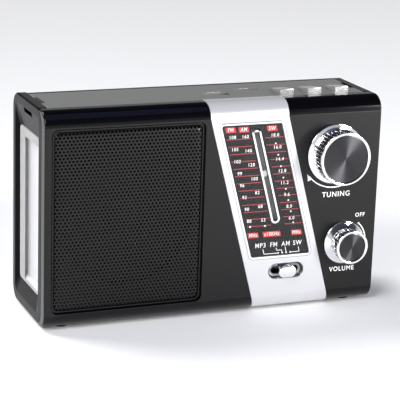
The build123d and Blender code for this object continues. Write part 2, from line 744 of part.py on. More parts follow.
with BuildPart() as ear_jack:
    with BuildSketch(side_plane(END - 8)):
        corners(JACK_DEPTH - 3.5, EAR_JACK - 3.5, JACK_DEPTH + 3.5, EAR_JACK + 3.5)
    extrude(amount=8 - GAP)
    with BuildSketch(side_plane(END - GAP)):
        with Locations((JACK_DEPTH, EAR_JACK)):
            Circle(EAR_R + 0.8)
    extrude(amount=PANEL + GAP - END)
    with BuildSketch(side_plane(END - 8.5)):
        with Locations((JACK_DEPTH, EAR_JACK)):
            Circle(EAR_R)
    extrude(amount=PANEL - END + 9, mode=Mode.SUBTRACT)
save(ear_jack, "ear_jack")

with BuildPart() as power_jack:
    with BuildSketch(side_plane(END - 9)):
        corners(JACK_DEPTH - 4.5, POWER_JACK - 5.0, JACK_DEPTH + 4.5, POWER_JACK + 5.0)
    extrude(amount=9 - GAP)
    with BuildSketch(side_plane(END - GAP)):
        with Locations((JACK_DEPTH, POWER_JACK)):
            Circle(POWER_R + 0.8)
    extrude(amount=PANEL + GAP - END)
    with BuildSketch(side_plane(END - 7.5)):
        with Locations((JACK_DEPTH, POWER_JACK)):
            Circle(POWER_R)
            Circle(1.0, mode=Mode.SUBTRACT)
    extrude(amount=PANEL - END + 7.5, mode=Mode.SUBTRACT)
save(power_jack, "power_jack")

with BuildPart() as lamp_switch:
    with BuildSketch(side_plane(END - 6)):
        corners(JACK_DEPTH - 4, LAMP_SWITCH - 9, JACK_DEPTH + 4, LAMP_SWITCH + 9)
    extrude(amount=6 - GAP)
    with BuildSketch(side_plane(END - 3)):
        corners(JACK_DEPTH - 2.3, LAMP_SWITCH - 6.3, JACK_DEPTH + 2.3, LAMP_SWITCH + 6.3)
    extrude(amount=4, mode=Mode.SUBTRACT)
save(lamp_switch, "lamp_switch")

with BuildPart() as lamp_slider:
    with BuildSketch(side_plane(END - 2.8)):
        with Locations((JACK_DEPTH, LAMP_SWITCH - LAMP_SLIDER_TRAVEL / 2)):
            Rectangle(4.0, 7.6)
    extrude(amount=PANEL - END + 2.8 + 1.0)
    with BuildSketch(side_plane(PANEL + 0.6)):
        with Locations((JACK_DEPTH, LAMP_SWITCH - LAMP_SLIDER_TRAVEL / 2)):
            with GridLocations(0, 1.8, 1, 3):
                Rectangle(5, 0.7)
    extrude(amount=1, mode=Mode.SUBTRACT)
save(lamp_slider, "lamp_slider")

# ------------------------------------------------------------------ keys, sockets and boards

MEDIA_TOP = 96.0  # height of the media board's upper face
KEY_RISE = (2.6, 1.5)  # of a key above the plate, at its front and its back
KEY_TRAVEL = 0.8
TACT_TOP = 101.0


def key(x):
    """Push key: sloped top, retaining skirt under the plate, and a stem down to its switch."""
    half, front, back = KEY_SIZE[0] / 2, KEYS_DEPTH - KEY_SIZE[1] / 2, KEYS_DEPTH + KEY_SIZE[1] / 2
    with BuildPart() as made:
        with BuildSketch(side_plane(x - half)):
            Polygon(
                (front, 108.0),
                (back, 108.0),
                (back, HEIGHT + KEY_RISE[1]),
                (front, HEIGHT + KEY_RISE[0]),
                align=None,
            )
        extrude(amount=KEY_SIZE[0])
        fillet(made.faces().sort_by(Axis.Z)[-1].edges(), 0.5)
        block(x - half - 0.7, x + half + 0.7, front - 0.7, back + 0.7, 107.4, 108.8)
        block(x - 2, x + 2, KEYS_DEPTH - 2, KEYS_DEPTH + 2, TACT_TOP + KEY_TRAVEL + 0.2, 107.4)
    return made


save(key(KEYS_X[0]), "key_previous")
save(key(KEYS_X[1]), "key_play")
save(key(KEYS_X[2]), "key_next")

with BuildPart() as media_board:
    block(0, 80, 14.5, 34.5, MEDIA_TOP - 1.6, MEDIA_TOP)
    for x in KEYS_X:
        block(
            x - 2.2, x + 2.2, KEYS_DEPTH - 2.2, KEYS_DEPTH + 2.2,
            MEDIA_TOP, TACT_TOP - 1.0,
        )
        with BuildSketch(level(TACT_TOP - 1.0)):
            with Locations((x, KEYS_DEPTH)):
                Circle(1.2)
        extrude(amount=1.0)
save(media_board, "media_board")

with BuildPart() as usb_socket:
    block(USB[0] - 6.8, USB[0] + 6.8, USB[1] - 2.65, USB[1] + 2.65, MEDIA_TOP, HEIGHT - 1.0)
    block(
        USB[0] - 6.2, USB[0] + 6.2, USB[1] - 2.25, USB[1] + 2.25,
        MEDIA_TOP + 2, HEIGHT, mode=Mode.SUBTRACT,
    )
    block(USB[0] - 5.6, USB[0] + 5.6, USB[1] + 0.2, USB[1] + 1.9, MEDIA_TOP + 2, HEIGHT - 5.2)
save(usb_socket, "usb_socket")

with BuildPart() as card_socket:
    block(CARD[0] - 7.2, CARD[0] + 7.2, CARD[1] - 1.4, CARD[1] + 1.4, MEDIA_TOP, HEIGHT - WALL - 0.1)
    block(
        CARD[0] - 5.7, CARD[0] + 5.7, CARD[1] - 0.5, CARD[1] + 0.5,
        MEDIA_TOP + 2, HEIGHT, mode=Mode.SUBTRACT,
    )
save(card_socket, "card_socket")

with BuildPart() as main_board:
    block(5.5, 87 - 0.5, BOARD_DEPTH, BOARD_DEPTH + 1.6, 5, 90.2)
    round_bar(STANDOFFS, 1.3, BOARD_DEPTH - 1, BOARD_DEPTH + 3, mode=Mode.SUBTRACT)
    round_bar((SCREWS[2],), BOSS_R + 0.5, BOARD_DEPTH - 1, BOARD_DEPTH + 3, mode=Mode.SUBTRACT)
save(main_board, "main_board")

PARTS_FRONT = BOARD_DEPTH + 1.6  # depth of the main board's rear face
with BuildPart() as if_cans:
    for i in range(5):
        block(16 + 10 * i, 23 + 10 * i, PARTS_FRONT, PARTS_FRONT + 11, 60, 67)
    fillet(if_cans.edges().filter_by(Axis.Y), 0.6)
save(if_cans, "if_cans")

with BuildPart() as electrolytics:
    round_bar(((22, 26), (34, 26), (46, 30)), 4.0, PARTS_FRONT, PARTS_FRONT + 11.5)
    round_bar(((60, 20),), 5.0, PARTS_FRONT, PARTS_FRONT + 13)
save(electrolytics, "electrolytics")

with BuildPart() as chips:
    block(24, 43, PARTS_FRONT + 0.4, PARTS_FRONT + 3.6, 42, 49)
    block(54, 64, PARTS_FRONT + 0.4, PARTS_FRONT + 3.6, 40, 47)
    for x0, count, low, high in ((24, 14, 42, 49), (54, 7, 40, 47)):
        for i in range(count):
            pin = x0 + 0.5 + i * 1.35
            block(pin - 0.2, pin + 0.2, PARTS_FRONT, PARTS_FRONT + 1.6, low - 1.0, low)
            block(pin - 0.2, pin + 0.2, PARTS_FRONT, PARTS_FRONT + 1.6, high, high + 1.0)
save(chips, "chips")

# ------------------------------------------------------------------ ferrite aerial

ROD_DEPTH, ROD_HEIGHT, ROD_R = 42.5, 84.5, 4.4
with BuildPart() as ferrite_rod:
    with BuildSketch(side_plane(-74)):
        with Locations((ROD_DEPTH, ROD_HEIGHT)):
            Circle(ROD_R)
    extrude(amount=98)
save(ferrite_rod, "ferrite_rod")

with BuildPart() as rod_coils:
    for x0, length in ((-62, 22), (-6, 14)):
        with BuildSketch(side_plane(x0)):
            with Locations((ROD_DEPTH, ROD_HEIGHT)):
                Circle(ROD_R + 0.9)
                Circle(ROD_R + 0.02, mode=Mode.SUBTRACT)
        extrude(amount=length)
save(rod_coils, "rod_coils")

with BuildPart() as rod_clips:
    for x0 in (-70, 14):
        block(x0, x0 + 4, ROD_DEPTH - 6.5, DEPTH - WALL, ROD_HEIGHT - 6.5, ROD_HEIGHT + 6.5)
    with BuildSketch(side_plane(-75)):
        with Locations((ROD_DEPTH, ROD_HEIGHT)):
            Circle(ROD_R + 0.02)
        corners(ROD_DEPTH - 8, ROD_HEIGHT - 3, ROD_DEPTH, ROD_HEIGHT + 3)
    extrude(amount=100, mode=Mode.SUBTRACT)
save(rod_clips, "rod_clips")

# ------------------------------------------------------------------ telescopic aerial

AX, AD, AH = ANTENNA
EAR_GAP = 1.5  # half the space between the elbow's ears
ELBOW_PIN_R = 1.0
TURRET_R = 4.0
TUBE_START = 4.6  # from the elbow to the first tube
TUBE_LENGTH = 150.0

with BuildPart() as antenna_base:
    with BuildSketch(level(REBATE_FLOOR + 0.1)):
        with Locations((AX, AD)):
            Circle(TURRET_R)
    extrude(amount=1.1)
    with BuildSketch(level(REBATE_FLOOR - WALL - 3)):
        with Locations((AX, AD)):
            Circle(2.0)
    extrude(amount=WALL + 3.1)
    for depth0, depth1 in ((AD - 3.4, AD - EAR_GAP), (AD + EAR_GAP, AD + 3.4)):
        round_bar([(AX, AH)], 2.9, depth0, depth1)
        block(AX - 2.1, AX + 2.1, depth0, depth1, REBATE_FLOOR + 1.2, AH)
    round_bar([(AX, AH)], ELBOW_PIN_R, AD - 3.6, AD + 3.6)
    # nothing of the turret stands out past its own turning circle
    with BuildSketch(level(REBATE_FLOOR - WALL - 4)):
        with Locations((AX, AD)):
            Circle(TURRET_R)
    extrude(amount=20, mode=Mode.INTERSECT)
save(antenna_base, "antenna_base")


def tube(index):
    """One tube of the aerial. Each starts a little further out than the tube round it."""
    start = AX + TUBE_START + (0.0 if index == 0 else 1.5 + index * 1.5)
    outer = ANTENNA_R[index]
    solid = index == len(ANTENNA_R) - 1
    with BuildPart() as made:
        with BuildSketch(side_plane(start)):
            with Locations((AD, AH)):
                Circle(outer)
        extrude(amount=TUBE_LENGTH)
        if not solid:
            with BuildSketch(side_plane(start + (2.5 if index == 0 else 0))):
                with Locations((AD, AH)):
                    Circle(outer - TUBE_WALL)
            extrude(amount=TUBE_LENGTH, mode=Mode.SUBTRACT)
        if index == 0:
            round_bar([(AX, AH)], 2.6, AD - EAR_GAP + 0.1, AD + EAR_GAP - 0.1)
            block(AX, start + 1, AD - EAR_GAP + 0.1, AD + EAR_GAP - 0.1, AH - 1.6, AH + 1.6)
            round_bar([(AX, AH)], ELBOW_PIN_R + RUN, AD - 3, AD + 3, mode=Mode.SUBTRACT)
        if solid:
            with BuildSketch(side_plane(start + TUBE_LENGTH)):
                with Locations((AD, AH)):
                    Circle(2.6)
            extrude(amount=4.5)
            fillet(made.faces().sort_by(Axis.X)[-1].edges(), 1.2)
    return made


for number in range(len(ANTENNA_R)):
    save(tube(number), f"antenna_tube_{number + 1}")

# ------------------------------------------------------------------ battery

CELL_R, CELL_LENGTH = 9.2, 65.0
CELL = (-80.2, 47.0, 28.3)  # left end x, depth, height

with BuildPart() as battery_cell:
    with BuildSketch(side_plane(CELL[0])):
        with Locations((CELL[1], CELL[2])):
            Circle(CELL_R)
    extrude(amount=CELL_LENGTH - 1.5)
    with BuildSketch(side_plane(CELL[0] + CELL_LENGTH - 1.5)):
        with Locations((CELL[1], CELL[2])):
            Circle(3.0)
    extrude(amount=1.5)
save(battery_cell, "battery_cell")

with BuildPart() as battery_contacts:
    for plate, bump in ((BAY[0] + 0.1, CELL[0]), (BAY[1] - 0.6, CELL[0] + CELL_LENGTH)):
        block(plate, plate + 0.5, CELL[1] - 6, CELL[1] + 6, CELL[2] - 6, CELL[2] + 6)
        with BuildSketch(side_plane(plate + 0.25)):
            with Locations((CELL[1], CELL[2])):
                Circle(3.5)
        extrude(amount=bump - plate - (0.3 if bump > plate else 0.2))
save(battery_contacts, "battery_contacts")

with BuildPart() as battery_door:
    with BuildSketch(front_plane(DEPTH)):
        corners(
            BAY[0] - DOOR_LAP + GAP, BAY[2] - DOOR_LAP + GAP,
            BAY[1] + DOOR_LAP - GAP, BAY[3] + DOOR_LAP - GAP, 1.8,
        )
    extrude(amount=DOOR_T - 0.1)
    middle = (BAY[0] + BAY[1]) / 2
    with BuildSketch(front_plane(DEPTH)):
        with Locations((middle, BAY[3] - 0.5)):
            with GridLocations(0, 1.7, 1, 3):
                SlotOverall(14, 0.8)
    extrude(amount=0.5, mode=Mode.SUBTRACT)
save(battery_door, "battery_door")

# ------------------------------------------------------------------ feet and case screws

with BuildPart() as feet:
    with BuildSketch(level(-FOOT)):
        with Locations((-80, 11), (80, 11), (-80, 48), (80, 48)):
            Circle(3.2)
    extrude(amount=FOOT)
    fillet(feet.faces().sort_by(Axis.Z)[:4].edges(), 0.4)
save(feet, "feet")

with BuildPart() as screws:
    round_bar(SCREWS, 1.05, BOSS_BACK - 10, DEPTH - 1.1)
    round_bar(SCREWS, 2.6, DEPTH - 1.1, DEPTH)
    round_bar(STANDOFFS, 0.95, BOARD_DEPTH - 6, PARTS_FRONT)
    round_bar(STANDOFFS, 2.6, PARTS_FRONT, PARTS_FRONT + 1.1)
    for places, head in ((SCREWS, DEPTH), (STANDOFFS, PARTS_FRONT + 1.1)):
        with BuildSketch(front_plane(head)):
            with Locations(*places):
                Rectangle(3.6, 0.7)
                Rectangle(0.7, 3.6)
        extrude(amount=0.6, mode=Mode.SUBTRACT)
save(screws, "screws")
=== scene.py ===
"""Looks of the portable shortwave receiver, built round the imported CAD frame.

The frame gives every node's place, in metres, with X to the right, Y to the back and Z up. This script
dresses each node in a finish named after the real material, and replaces the nodes whose shape needs
more than CAD gave it: the perforated grille, the ribbed knobs, the keys, the slider and the coils. It
adds the printing on the dial and the front, which rides on the case.
"""

import json
import logging
import math
from dataclasses import dataclass, field
from enum import Enum
from typing import Any, Iterable, Optional, Sequence

import bmesh
import bpy
from mathutils import Matrix, Vector


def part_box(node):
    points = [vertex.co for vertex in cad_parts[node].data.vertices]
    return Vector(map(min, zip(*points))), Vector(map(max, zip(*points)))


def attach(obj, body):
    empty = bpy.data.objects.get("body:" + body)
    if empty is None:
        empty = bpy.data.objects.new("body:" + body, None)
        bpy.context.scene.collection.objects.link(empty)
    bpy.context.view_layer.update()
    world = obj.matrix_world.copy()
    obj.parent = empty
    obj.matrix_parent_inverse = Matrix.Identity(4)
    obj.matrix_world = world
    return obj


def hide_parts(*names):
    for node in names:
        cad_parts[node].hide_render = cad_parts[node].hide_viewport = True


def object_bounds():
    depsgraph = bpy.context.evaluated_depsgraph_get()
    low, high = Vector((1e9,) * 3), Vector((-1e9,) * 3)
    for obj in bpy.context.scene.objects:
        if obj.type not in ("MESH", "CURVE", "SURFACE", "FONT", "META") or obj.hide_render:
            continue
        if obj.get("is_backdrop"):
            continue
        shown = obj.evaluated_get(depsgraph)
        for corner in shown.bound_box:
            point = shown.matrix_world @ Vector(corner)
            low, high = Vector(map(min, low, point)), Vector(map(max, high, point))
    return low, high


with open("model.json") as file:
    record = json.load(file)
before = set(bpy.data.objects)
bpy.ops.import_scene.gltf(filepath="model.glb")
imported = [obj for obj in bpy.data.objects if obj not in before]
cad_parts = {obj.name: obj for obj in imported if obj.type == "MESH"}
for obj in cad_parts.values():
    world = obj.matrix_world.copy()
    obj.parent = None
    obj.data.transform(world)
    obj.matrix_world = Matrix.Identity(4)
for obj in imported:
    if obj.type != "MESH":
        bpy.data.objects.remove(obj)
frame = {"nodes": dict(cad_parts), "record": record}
CAD_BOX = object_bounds()

LOG = logging.getLogger("receiver")
MM = 0.001
Point = tuple[float, float]
Point3 = tuple[float, float, float]
Mesh, Object, Material = bpy.types.Mesh, bpy.types.Object, bpy.types.Material
Node, NodeTree, Socket = bpy.types.Node, bpy.types.NodeTree, bpy.types.NodeSocket
BMesh = bmesh.types.BMesh

CASE_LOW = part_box("front_shell")[0]
FRONT = CASE_LOW[1]
"""Y of the flat front face."""
FLOOR = CASE_LOW[2]
"""Z of the underside of the case; the feet stand below it."""
SLANT = 0.27
"""Sideways lean of the dial band for each unit of height."""
PLATE_TOP = 112.0
"""Height of the top plate, in millimetres."""


def at(x: float, depth: float, height: float) -> Vector:
    """A point of the case, in metres, from millimetres.

    Args:
        x: To the right of the middle.
        depth: Behind the front face.
        height: Above the underside.

    Returns:
        The point in the frame.
    """
    return Vector((x * MM, FRONT + depth * MM, FLOOR + height * MM))


def middle(node: str) -> Vector:
    """The centre of a CAD node's box, in metres."""
    low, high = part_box(node)
    return (Vector(low) + Vector(high)) / 2


def spot(node: str) -> Point:
    """(x, height) of a CAD node's middle, in millimetres."""
    centre = middle(node)
    return (centre.x / MM, (centre.z - FLOOR) / MM)


def linear(colour: str) -> tuple[float, float, float, float]:
    """Turns an sRGB hex colour into the linear RGBA that shaders read."""
    channels = [int(colour[i : i + 2], 16) / 255 for i in (1, 3, 5)]
    low = [c / 12.92 if c <= 0.04045 else ((c + 0.055) / 1.055) ** 2.4 for c in channels]
    return (low[0], low[1], low[2], 1.0)


# ------------------------------------------------------------------ node trees


class Nodes:
    """A node tree that is being built."""

    def __init__(self, tree: NodeTree) -> None:
        """Takes an empty tree."""
        self.tree = tree

    def add(self, kind: str, inputs: Optional[dict] = None, **settings: Any) -> Node:
        """Adds one node with its settings and its inputs.

        Args:
            kind: The node's type name.
            inputs: Socket name or index to a value, or to the output socket that feeds it.
            **settings: Properties of the node itself.

        Returns:
            The new node.
        """
        node = self.tree.nodes.new(kind)
        for name, value in settings.items():
            setattr(node, name, value)
        for key, value in (inputs or {}).items():
            self.feed(node.inputs[key], value)
        return node

    def feed(self, socket: Socket, value: Any) -> None:
        """Links an output to a socket, or sets its value."""
        if isinstance(value, Socket):
            self.tree.links.new(value, socket)
        else:
            socket.default_value = value

    def calc(self, operation: str, *values: Any) -> Socket:
        """Adds a Math node and returns its result."""
        return self.add("ShaderNodeMath", dict(enumerate(values)), operation=operation).outputs[0]

    def ramp(self, factor: Socket, stops: Sequence[tuple[float, Any]]) -> Socket:
        """Adds a Color Ramp.

        Args:
            factor: What is looked up.
            stops: Position and linear colour of each stop.

        Returns:
            The colour's socket.
        """
        node = self.add("ShaderNodeValToRGB", {0: factor})
        elements = node.color_ramp.elements
        while len(elements) < len(stops):
            elements.new(0.5)
        for element, (place, value) in zip(elements, stops):
            element.position, element.color = place, value
        return node.outputs["Color"]


class Paint(Nodes):
    """A material's tree with its Principled shader, and the steps that finishes share."""

    def __init__(self, tree: NodeTree, base: dict[str, Any]) -> None:
        """Starts a material's tree.

        Args:
            tree: The tree.
            base: The shader's inputs.
        """
        super().__init__(tree)
        tree.nodes.clear()
        self.shader = self.add("ShaderNodeBsdfPrincipled", base)
        self.add("ShaderNodeOutputMaterial", {"Surface": self.shader.outputs[0]})

    def set(self, **values: Any) -> None:
        """Sets or feeds shader inputs; an underscore in a name stands for a space."""
        for name, value in values.items():
            self.feed(self.shader.inputs[name.replace("_", " ")], value)

    def place(self, scale: Point3 = (1, 1, 1), move: Point3 = (0, 0, 0)) -> Socket:
        """Object coordinates, scaled and then moved."""
        source = self.add("ShaderNodeTexCoord").outputs["Object"]
        return self.add("ShaderNodeMapping", {"Vector": source, "Scale": scale, "Location": move}).outputs[0]

    def noise(self, vector: Socket, grain: float, detail: float = 2.0) -> Socket:
        """Noise from 0 to 1.

        Args:
            vector: Where it is read.
            grain: About the width of a blob, in millimetres.
            detail: Octaves of finer noise on top.

        Returns:
            The value's socket.
        """
        inputs = {"Vector": vector, "Scale": 1 / (grain * MM), "Detail": detail, "Roughness": 0.55}
        return self.add("ShaderNodeTexNoise", inputs).outputs["Fac"]

    def bump(self, height: Socket, depth: float) -> None:
        """Feeds a height from 0 to 1 into the normal; 1 stands for depth millimetres."""
        self.set(Normal=self.add("ShaderNodeBump", {"Height": height, "Distance": depth * MM}).outputs[0])

    def rough(self, value: Socket, low: float, high: float) -> None:
        """Drives the roughness from low to high as a value goes from 0 to 1."""
        node = self.add("ShaderNodeMapRange", {"Value": value, "To Min": low, "To Max": high})
        self.set(Roughness=node.outputs[0])


# ------------------------------------------------------------------ finishes


@dataclass(frozen=True)
class Finish:
    """What every finish shares: a name and the numbers of its Principled shader."""

    name: str
    colour: str = "#808080"
    roughness: float = 0.5
    metallic: float = 0.0
    ior: float = 1.5
    gloss: float = 0.5

    def shade(self, paint: Paint) -> None:
        """Adds the finish's own pattern. A plain finish has none."""

    def make(self) -> Material:
        """Builds the material once and returns it."""
        known = bpy.data.materials.get(self.name)
        if known:
            return known
        material = bpy.data.materials.new(self.name)
        material.use_nodes = True
        base = {
            "Base Color": linear(self.colour),
            "Roughness": self.roughness,
            "Metallic": self.metallic,
            "IOR": self.ior,
            "Specular IOR Level": self.gloss,
        }
        self.shade(Paint(material.node_tree, base))
        return material


@dataclass(frozen=True)
class Moulded(Finish):
    """Moulded plastic, with the fine spark-eroded grain of its tool."""

    grain: float = 0.35
    depth: float = 0.012
    coat: float = 0.0

    def shade(self, paint: Paint) -> None:
        """Adds the grain, and a slow drift of gloss like handled plastic has."""
        here = paint.place()
        paint.bump(paint.noise(here, self.grain), self.depth)
        paint.rough(paint.noise(here, 24, 3), self.roughness - 0.05, self.roughness + 0.05)
        paint.set(Coat_Weight=self.coat, Coat_Roughness=0.08)


@dataclass(frozen=True)
class CaseFront(Finish):
    """Black ABS front moulding: a satin panel between two high-gloss rolled edges.

    The tool is polished where the edges roll over, and etched on the flat, so the two meet in a crisp
    line across the case.
    """

    panel_low: float = 7.4
    panel_high: float = 104.4
    polish: float = 0.1
    panel_colour: str = "#0e0e0f"

    def shade(self, paint: Paint) -> None:
        """Splits the finish by height and by how far forward the surface lies."""
        here = paint.place()
        split = paint.add("ShaderNodeSeparateXYZ", {0: here})
        above = paint.calc("GREATER_THAN", split.outputs["Z"], FLOOR + self.panel_low * MM)
        below = paint.calc("LESS_THAN", split.outputs["Z"], FLOOR + self.panel_high * MM)
        ahead = paint.calc("LESS_THAN", split.outputs["Y"], FRONT + 0.6 * MM)
        panel = paint.calc("MULTIPLY", paint.calc("MULTIPLY", above, below), ahead)
        etched = paint.noise(here, 0.5)
        inputs = {"Factor": panel, "A": linear(self.colour), "B": linear(self.panel_colour)}
        paint.set(Base_Color=paint.add("ShaderNodeMix", inputs, data_type="RGBA").outputs["Result"])
        paint.rough(panel, self.polish, self.roughness)
        paint.bump(paint.calc("MULTIPLY", etched, panel), 0.006)


@dataclass(frozen=True)
class Chrome(Finish):
    """Bright chrome plate on moulded ABS: sharp reflections, faintly rippled by the moulding."""

    ripple: float = 0.02

    def shade(self, paint: Paint) -> None:
        """Adds the ripple and a trace of haze."""
        here = paint.place()
        paint.bump(paint.noise(here, 6.0, 1), self.ripple)
        paint.rough(paint.noise(here, 9, 3), self.roughness * 0.6, self.roughness * 1.4)


@dataclass(frozen=True)
class Brushed(Finish):
    """Brushed metal or foil: fine scratches that run along X."""

    stretch: float = 60.0
    scratch: float = 0.12
    depth: float = 0.006

    def shade(self, paint: Paint) -> None:
        """Adds long noise across the brushing, to the height and the gloss."""
        lines = paint.noise(paint.place((1 / self.stretch, 1, 1)), self.scratch, 3)
        paint.bump(lines, self.depth)
        paint.rough(lines, self.roughness - 0.08, self.roughness + 0.1)


@dataclass(frozen=True)
class Spun(Finish):
    """Face-turned aluminium: fine rings about a centre, which spread each light into two bright fans."""

    centre: Point = (0.0, 0.0)
    ring: float = 0.35
    depth: float = 0.05

    def shade(self, paint: Paint) -> None:
        """Adds the rings, and stretches the highlight across them."""
        x, z = self.centre
        split = paint.add("ShaderNodeSeparateXYZ", {0: paint.place(move=(-x, 0, -z))})
        across = paint.add("ShaderNodeCombineXYZ", {"X": split.outputs["X"], "Y": split.outputs["Z"]})
        radius = paint.add("ShaderNodeVectorMath", {0: across.outputs[0]}, operation="LENGTH").outputs["Value"]
        along = paint.add("ShaderNodeCombineXYZ", {"X": radius})
        rings = paint.noise(along.outputs[0], self.ring, 2)
        paint.rough(rings, self.roughness - self.depth, self.roughness + self.depth)
        tangent = paint.add("ShaderNodeTangent", direction_type="RADIAL", axis="Y").outputs[0]
        paint.set(Anisotropic=0.93, Anisotropic_Rotation=0.25, Tangent=tangent)


@dataclass(frozen=True)
class SilverPaint(Finish):
    """Bright silver lacquer: pale and smooth, its aluminium flake too fine to see, under a clear coat."""

    flake: float = 0.25

    def shade(self, paint: Paint) -> None:
        """Adds the flake's faint grain and the coat."""
        here = paint.place()
        paint.bump(paint.noise(here, self.flake, 1), 0.0012)
        paint.rough(paint.noise(here, 9.0, 3), self.roughness - 0.03, self.roughness + 0.03)
        paint.set(Coat_Weight=0.3, Coat_Roughness=0.15)


@dataclass(frozen=True)
class Ink(Finish):
    """Screen-printed ink: flat colour with slightly uneven cover."""

    def shade(self, paint: Paint) -> None:
        """Adds the uneven cover."""
        cover = paint.noise(paint.place(), 0.6, 2)
        paint.bump(cover, 0.01)
        paint.rough(cover, self.roughness - 0.05, self.roughness + 0.05)


@dataclass(frozen=True)
class ClearStyrene(Finish):
    """Clear styrene window: almost nothing but its gloss."""

    alpha: float = 0.07

    def shade(self, paint: Paint) -> None:
        """Lets light through, and keeps a faint waviness."""
        paint.set(Alpha=self.alpha)
        paint.bump(paint.noise(paint.place(), 14, 1), 0.03)


@dataclass(frozen=True)
class OpalAcrylic(Finish):
    """Opal acrylic lamp cover: milky, with a faint painted glow, an emission that stands in for the daylight it
    gathers.
    """

    # Strength of the painted glow: emission standing in for gathered daylight.
    painted_glow: float = 0.18

    def shade(self, paint: Paint) -> None:
        """Adds the fine prism grain, the milky depth and the painted glow."""
        here = paint.place()
        paint.bump(paint.noise(here, 0.7, 2), 0.02)
        paint.rough(paint.noise(here, 8, 2), self.roughness - 0.04, self.roughness + 0.06)
        paint.set(Subsurface_Weight=0.5, Subsurface_Radius=(0.004, 0.004, 0.004), Subsurface_Scale=1.0)
        # Painted light: a faint emission in the cover's own colour.
        paint.set(Emission_Color=linear(self.colour), Emission_Strength=self.painted_glow)


@dataclass(frozen=True)
class CircuitBoard(Finish):
    """Glass-fibre board under solder mask, with copper tracks showing as paler lines."""

    track: str = "#2f6a3c"

    def shade(self, paint: Paint) -> None:
        """Draws tracks in a squared pattern."""
        inputs = {"Vector": paint.place(), "Scale": 260.0}
        node = paint.add("ShaderNodeTexVoronoi", inputs, distance="CHEBYCHEV", feature="F1")
        cells = node.outputs["Distance"]
        paint.set(Base_Color=paint.ramp(cells, [(0.42, linear(self.colour)), (0.5, linear(self.track))]))
        paint.bump(cells, 0.03)


@dataclass(frozen=True)
class Cone(Finish):
    """Pressed paper speaker cone: felted fibres, nearly black."""

    def shade(self, paint: Paint) -> None:
        """Adds the fibres."""
        fibres = paint.noise(paint.place((1, 1, 0.25)), 0.5, 4)
        paint.bump(fibres, 0.06)
        paint.rough(fibres, self.roughness - 0.1, self.roughness)


@dataclass(frozen=True)
class Braid(Finish):
    """Braided cord: turns along its length, with painted shade darkening the troughs between them."""

    def shade(self, paint: Paint) -> None:
        """Adds the turns as diagonal waves, and painted shade in their troughs."""
        inputs = {"Vector": paint.place(), "Scale": 900.0}
        turns = paint.add("ShaderNodeTexWave", inputs, bands_direction="DIAGONAL").outputs["Fac"]
        paint.bump(turns, 0.05)
        # Painted shade: the colour follows the bump, falling to 0.6 of its own in the troughs.
        bright = linear(self.colour)
        dark = tuple(0.6 * c for c in bright[:3]) + (1.0,)
        paint.set(Base_Color=paint.ramp(turns, [(0.2, dark), (0.8, bright)]))


BLACK_GLOSS = CaseFront("abs_polished_and_etched_black", "#050508", 0.3, gloss=0.28)
BLACK_ETCHED = Moulded("abs_etched_black", "#161617", 0.52, grain=0.6, depth=0.03)
BLACK_RING = Moulded("abs_polished_black", "#040405", 0.2, gloss=0.05, grain=3.0, depth=0.01)
PLATE = Brushed("foil_satin_grey", "#a2a29f", 0.34, 0.75, stretch=40.0, scratch=0.25)
SILVER = SilverPaint("lacquer_bright_silver", "#c9c9cc", 0.3, 0.4)
DIAL = Ink("styrene_printed_charcoal", "#1f1f20", 0.4, gloss=0.3)
WINDOW = ClearStyrene("styrene_clear", "#0a0a0a", 0.03)
CHROME = Chrome("chrome_on_abs", "#f2f3f4", 0.05, 1.0)
KEYTOP = Chrome("chrome_satin_keys", "#a4a4a4", 0.24, 0.75, ripple=0.001)
# Partly painted shade: satin plating whose colour is darkened well below the bright silver of the real well,
# standing in for the dark that the recess reflects.
WELL_PAINTED_SHADE = Chrome("chrome_satin_well", "#9a9a9c", 0.24, 0.95, ripple=0.002)
BEAD = Chrome("chrome_satin_on_abs", "#f4f4f5", 0.22, 0.8)
CAPS = {
    node: Spun("aluminium_spun_black_" + size, "#3d3d3f", 0.3, 1.0, centre=(middle(node).x, middle(node).z))
    for node, size in (("tuning_knob_cap", "large"), ("volume_knob_cap", "small"))
}
POINTER = Moulded("abs_pale_grey", "#d2d2d3", 0.4, grain=0.5, depth=0.01)
TRACK_GREY = Moulded("abs_mid_grey", "#a2a2a2", 0.5, grain=0.5, depth=0.01)
GRILLE = Moulded("steel_powder_coated_black", "#0d0d0e", 0.28, gloss=0.3, grain=0.25, depth=0.012)
PAPER = Cone("paper_pulp_black", "#0c0c0c", 0.9)
ZINC = Brushed("steel_zinc_plated", "#a9abad", 0.3, 1.0, stretch=8.0, scratch=0.4)
FERRITE = Moulded("ferrite_sintered", "#1d1e20", 0.6, grain=0.8, depth=0.05)
COPPER = Brushed("copper_enamelled_wire", "#b4622f", 0.22, 1.0, stretch=20.0, scratch=0.3)
NYLON = Moulded("nylon_natural", "#dcdbd3", 0.42, grain=1.2, depth=0.01)
CORD = Braid("polyester_braided", "#b8b096", 0.8)
# Painted light: a faint glow on the lamp cover.
OPAL = OpalAcrylic("acrylic_opal", "#d2d2d5", 0.3, painted_glow=0.06)
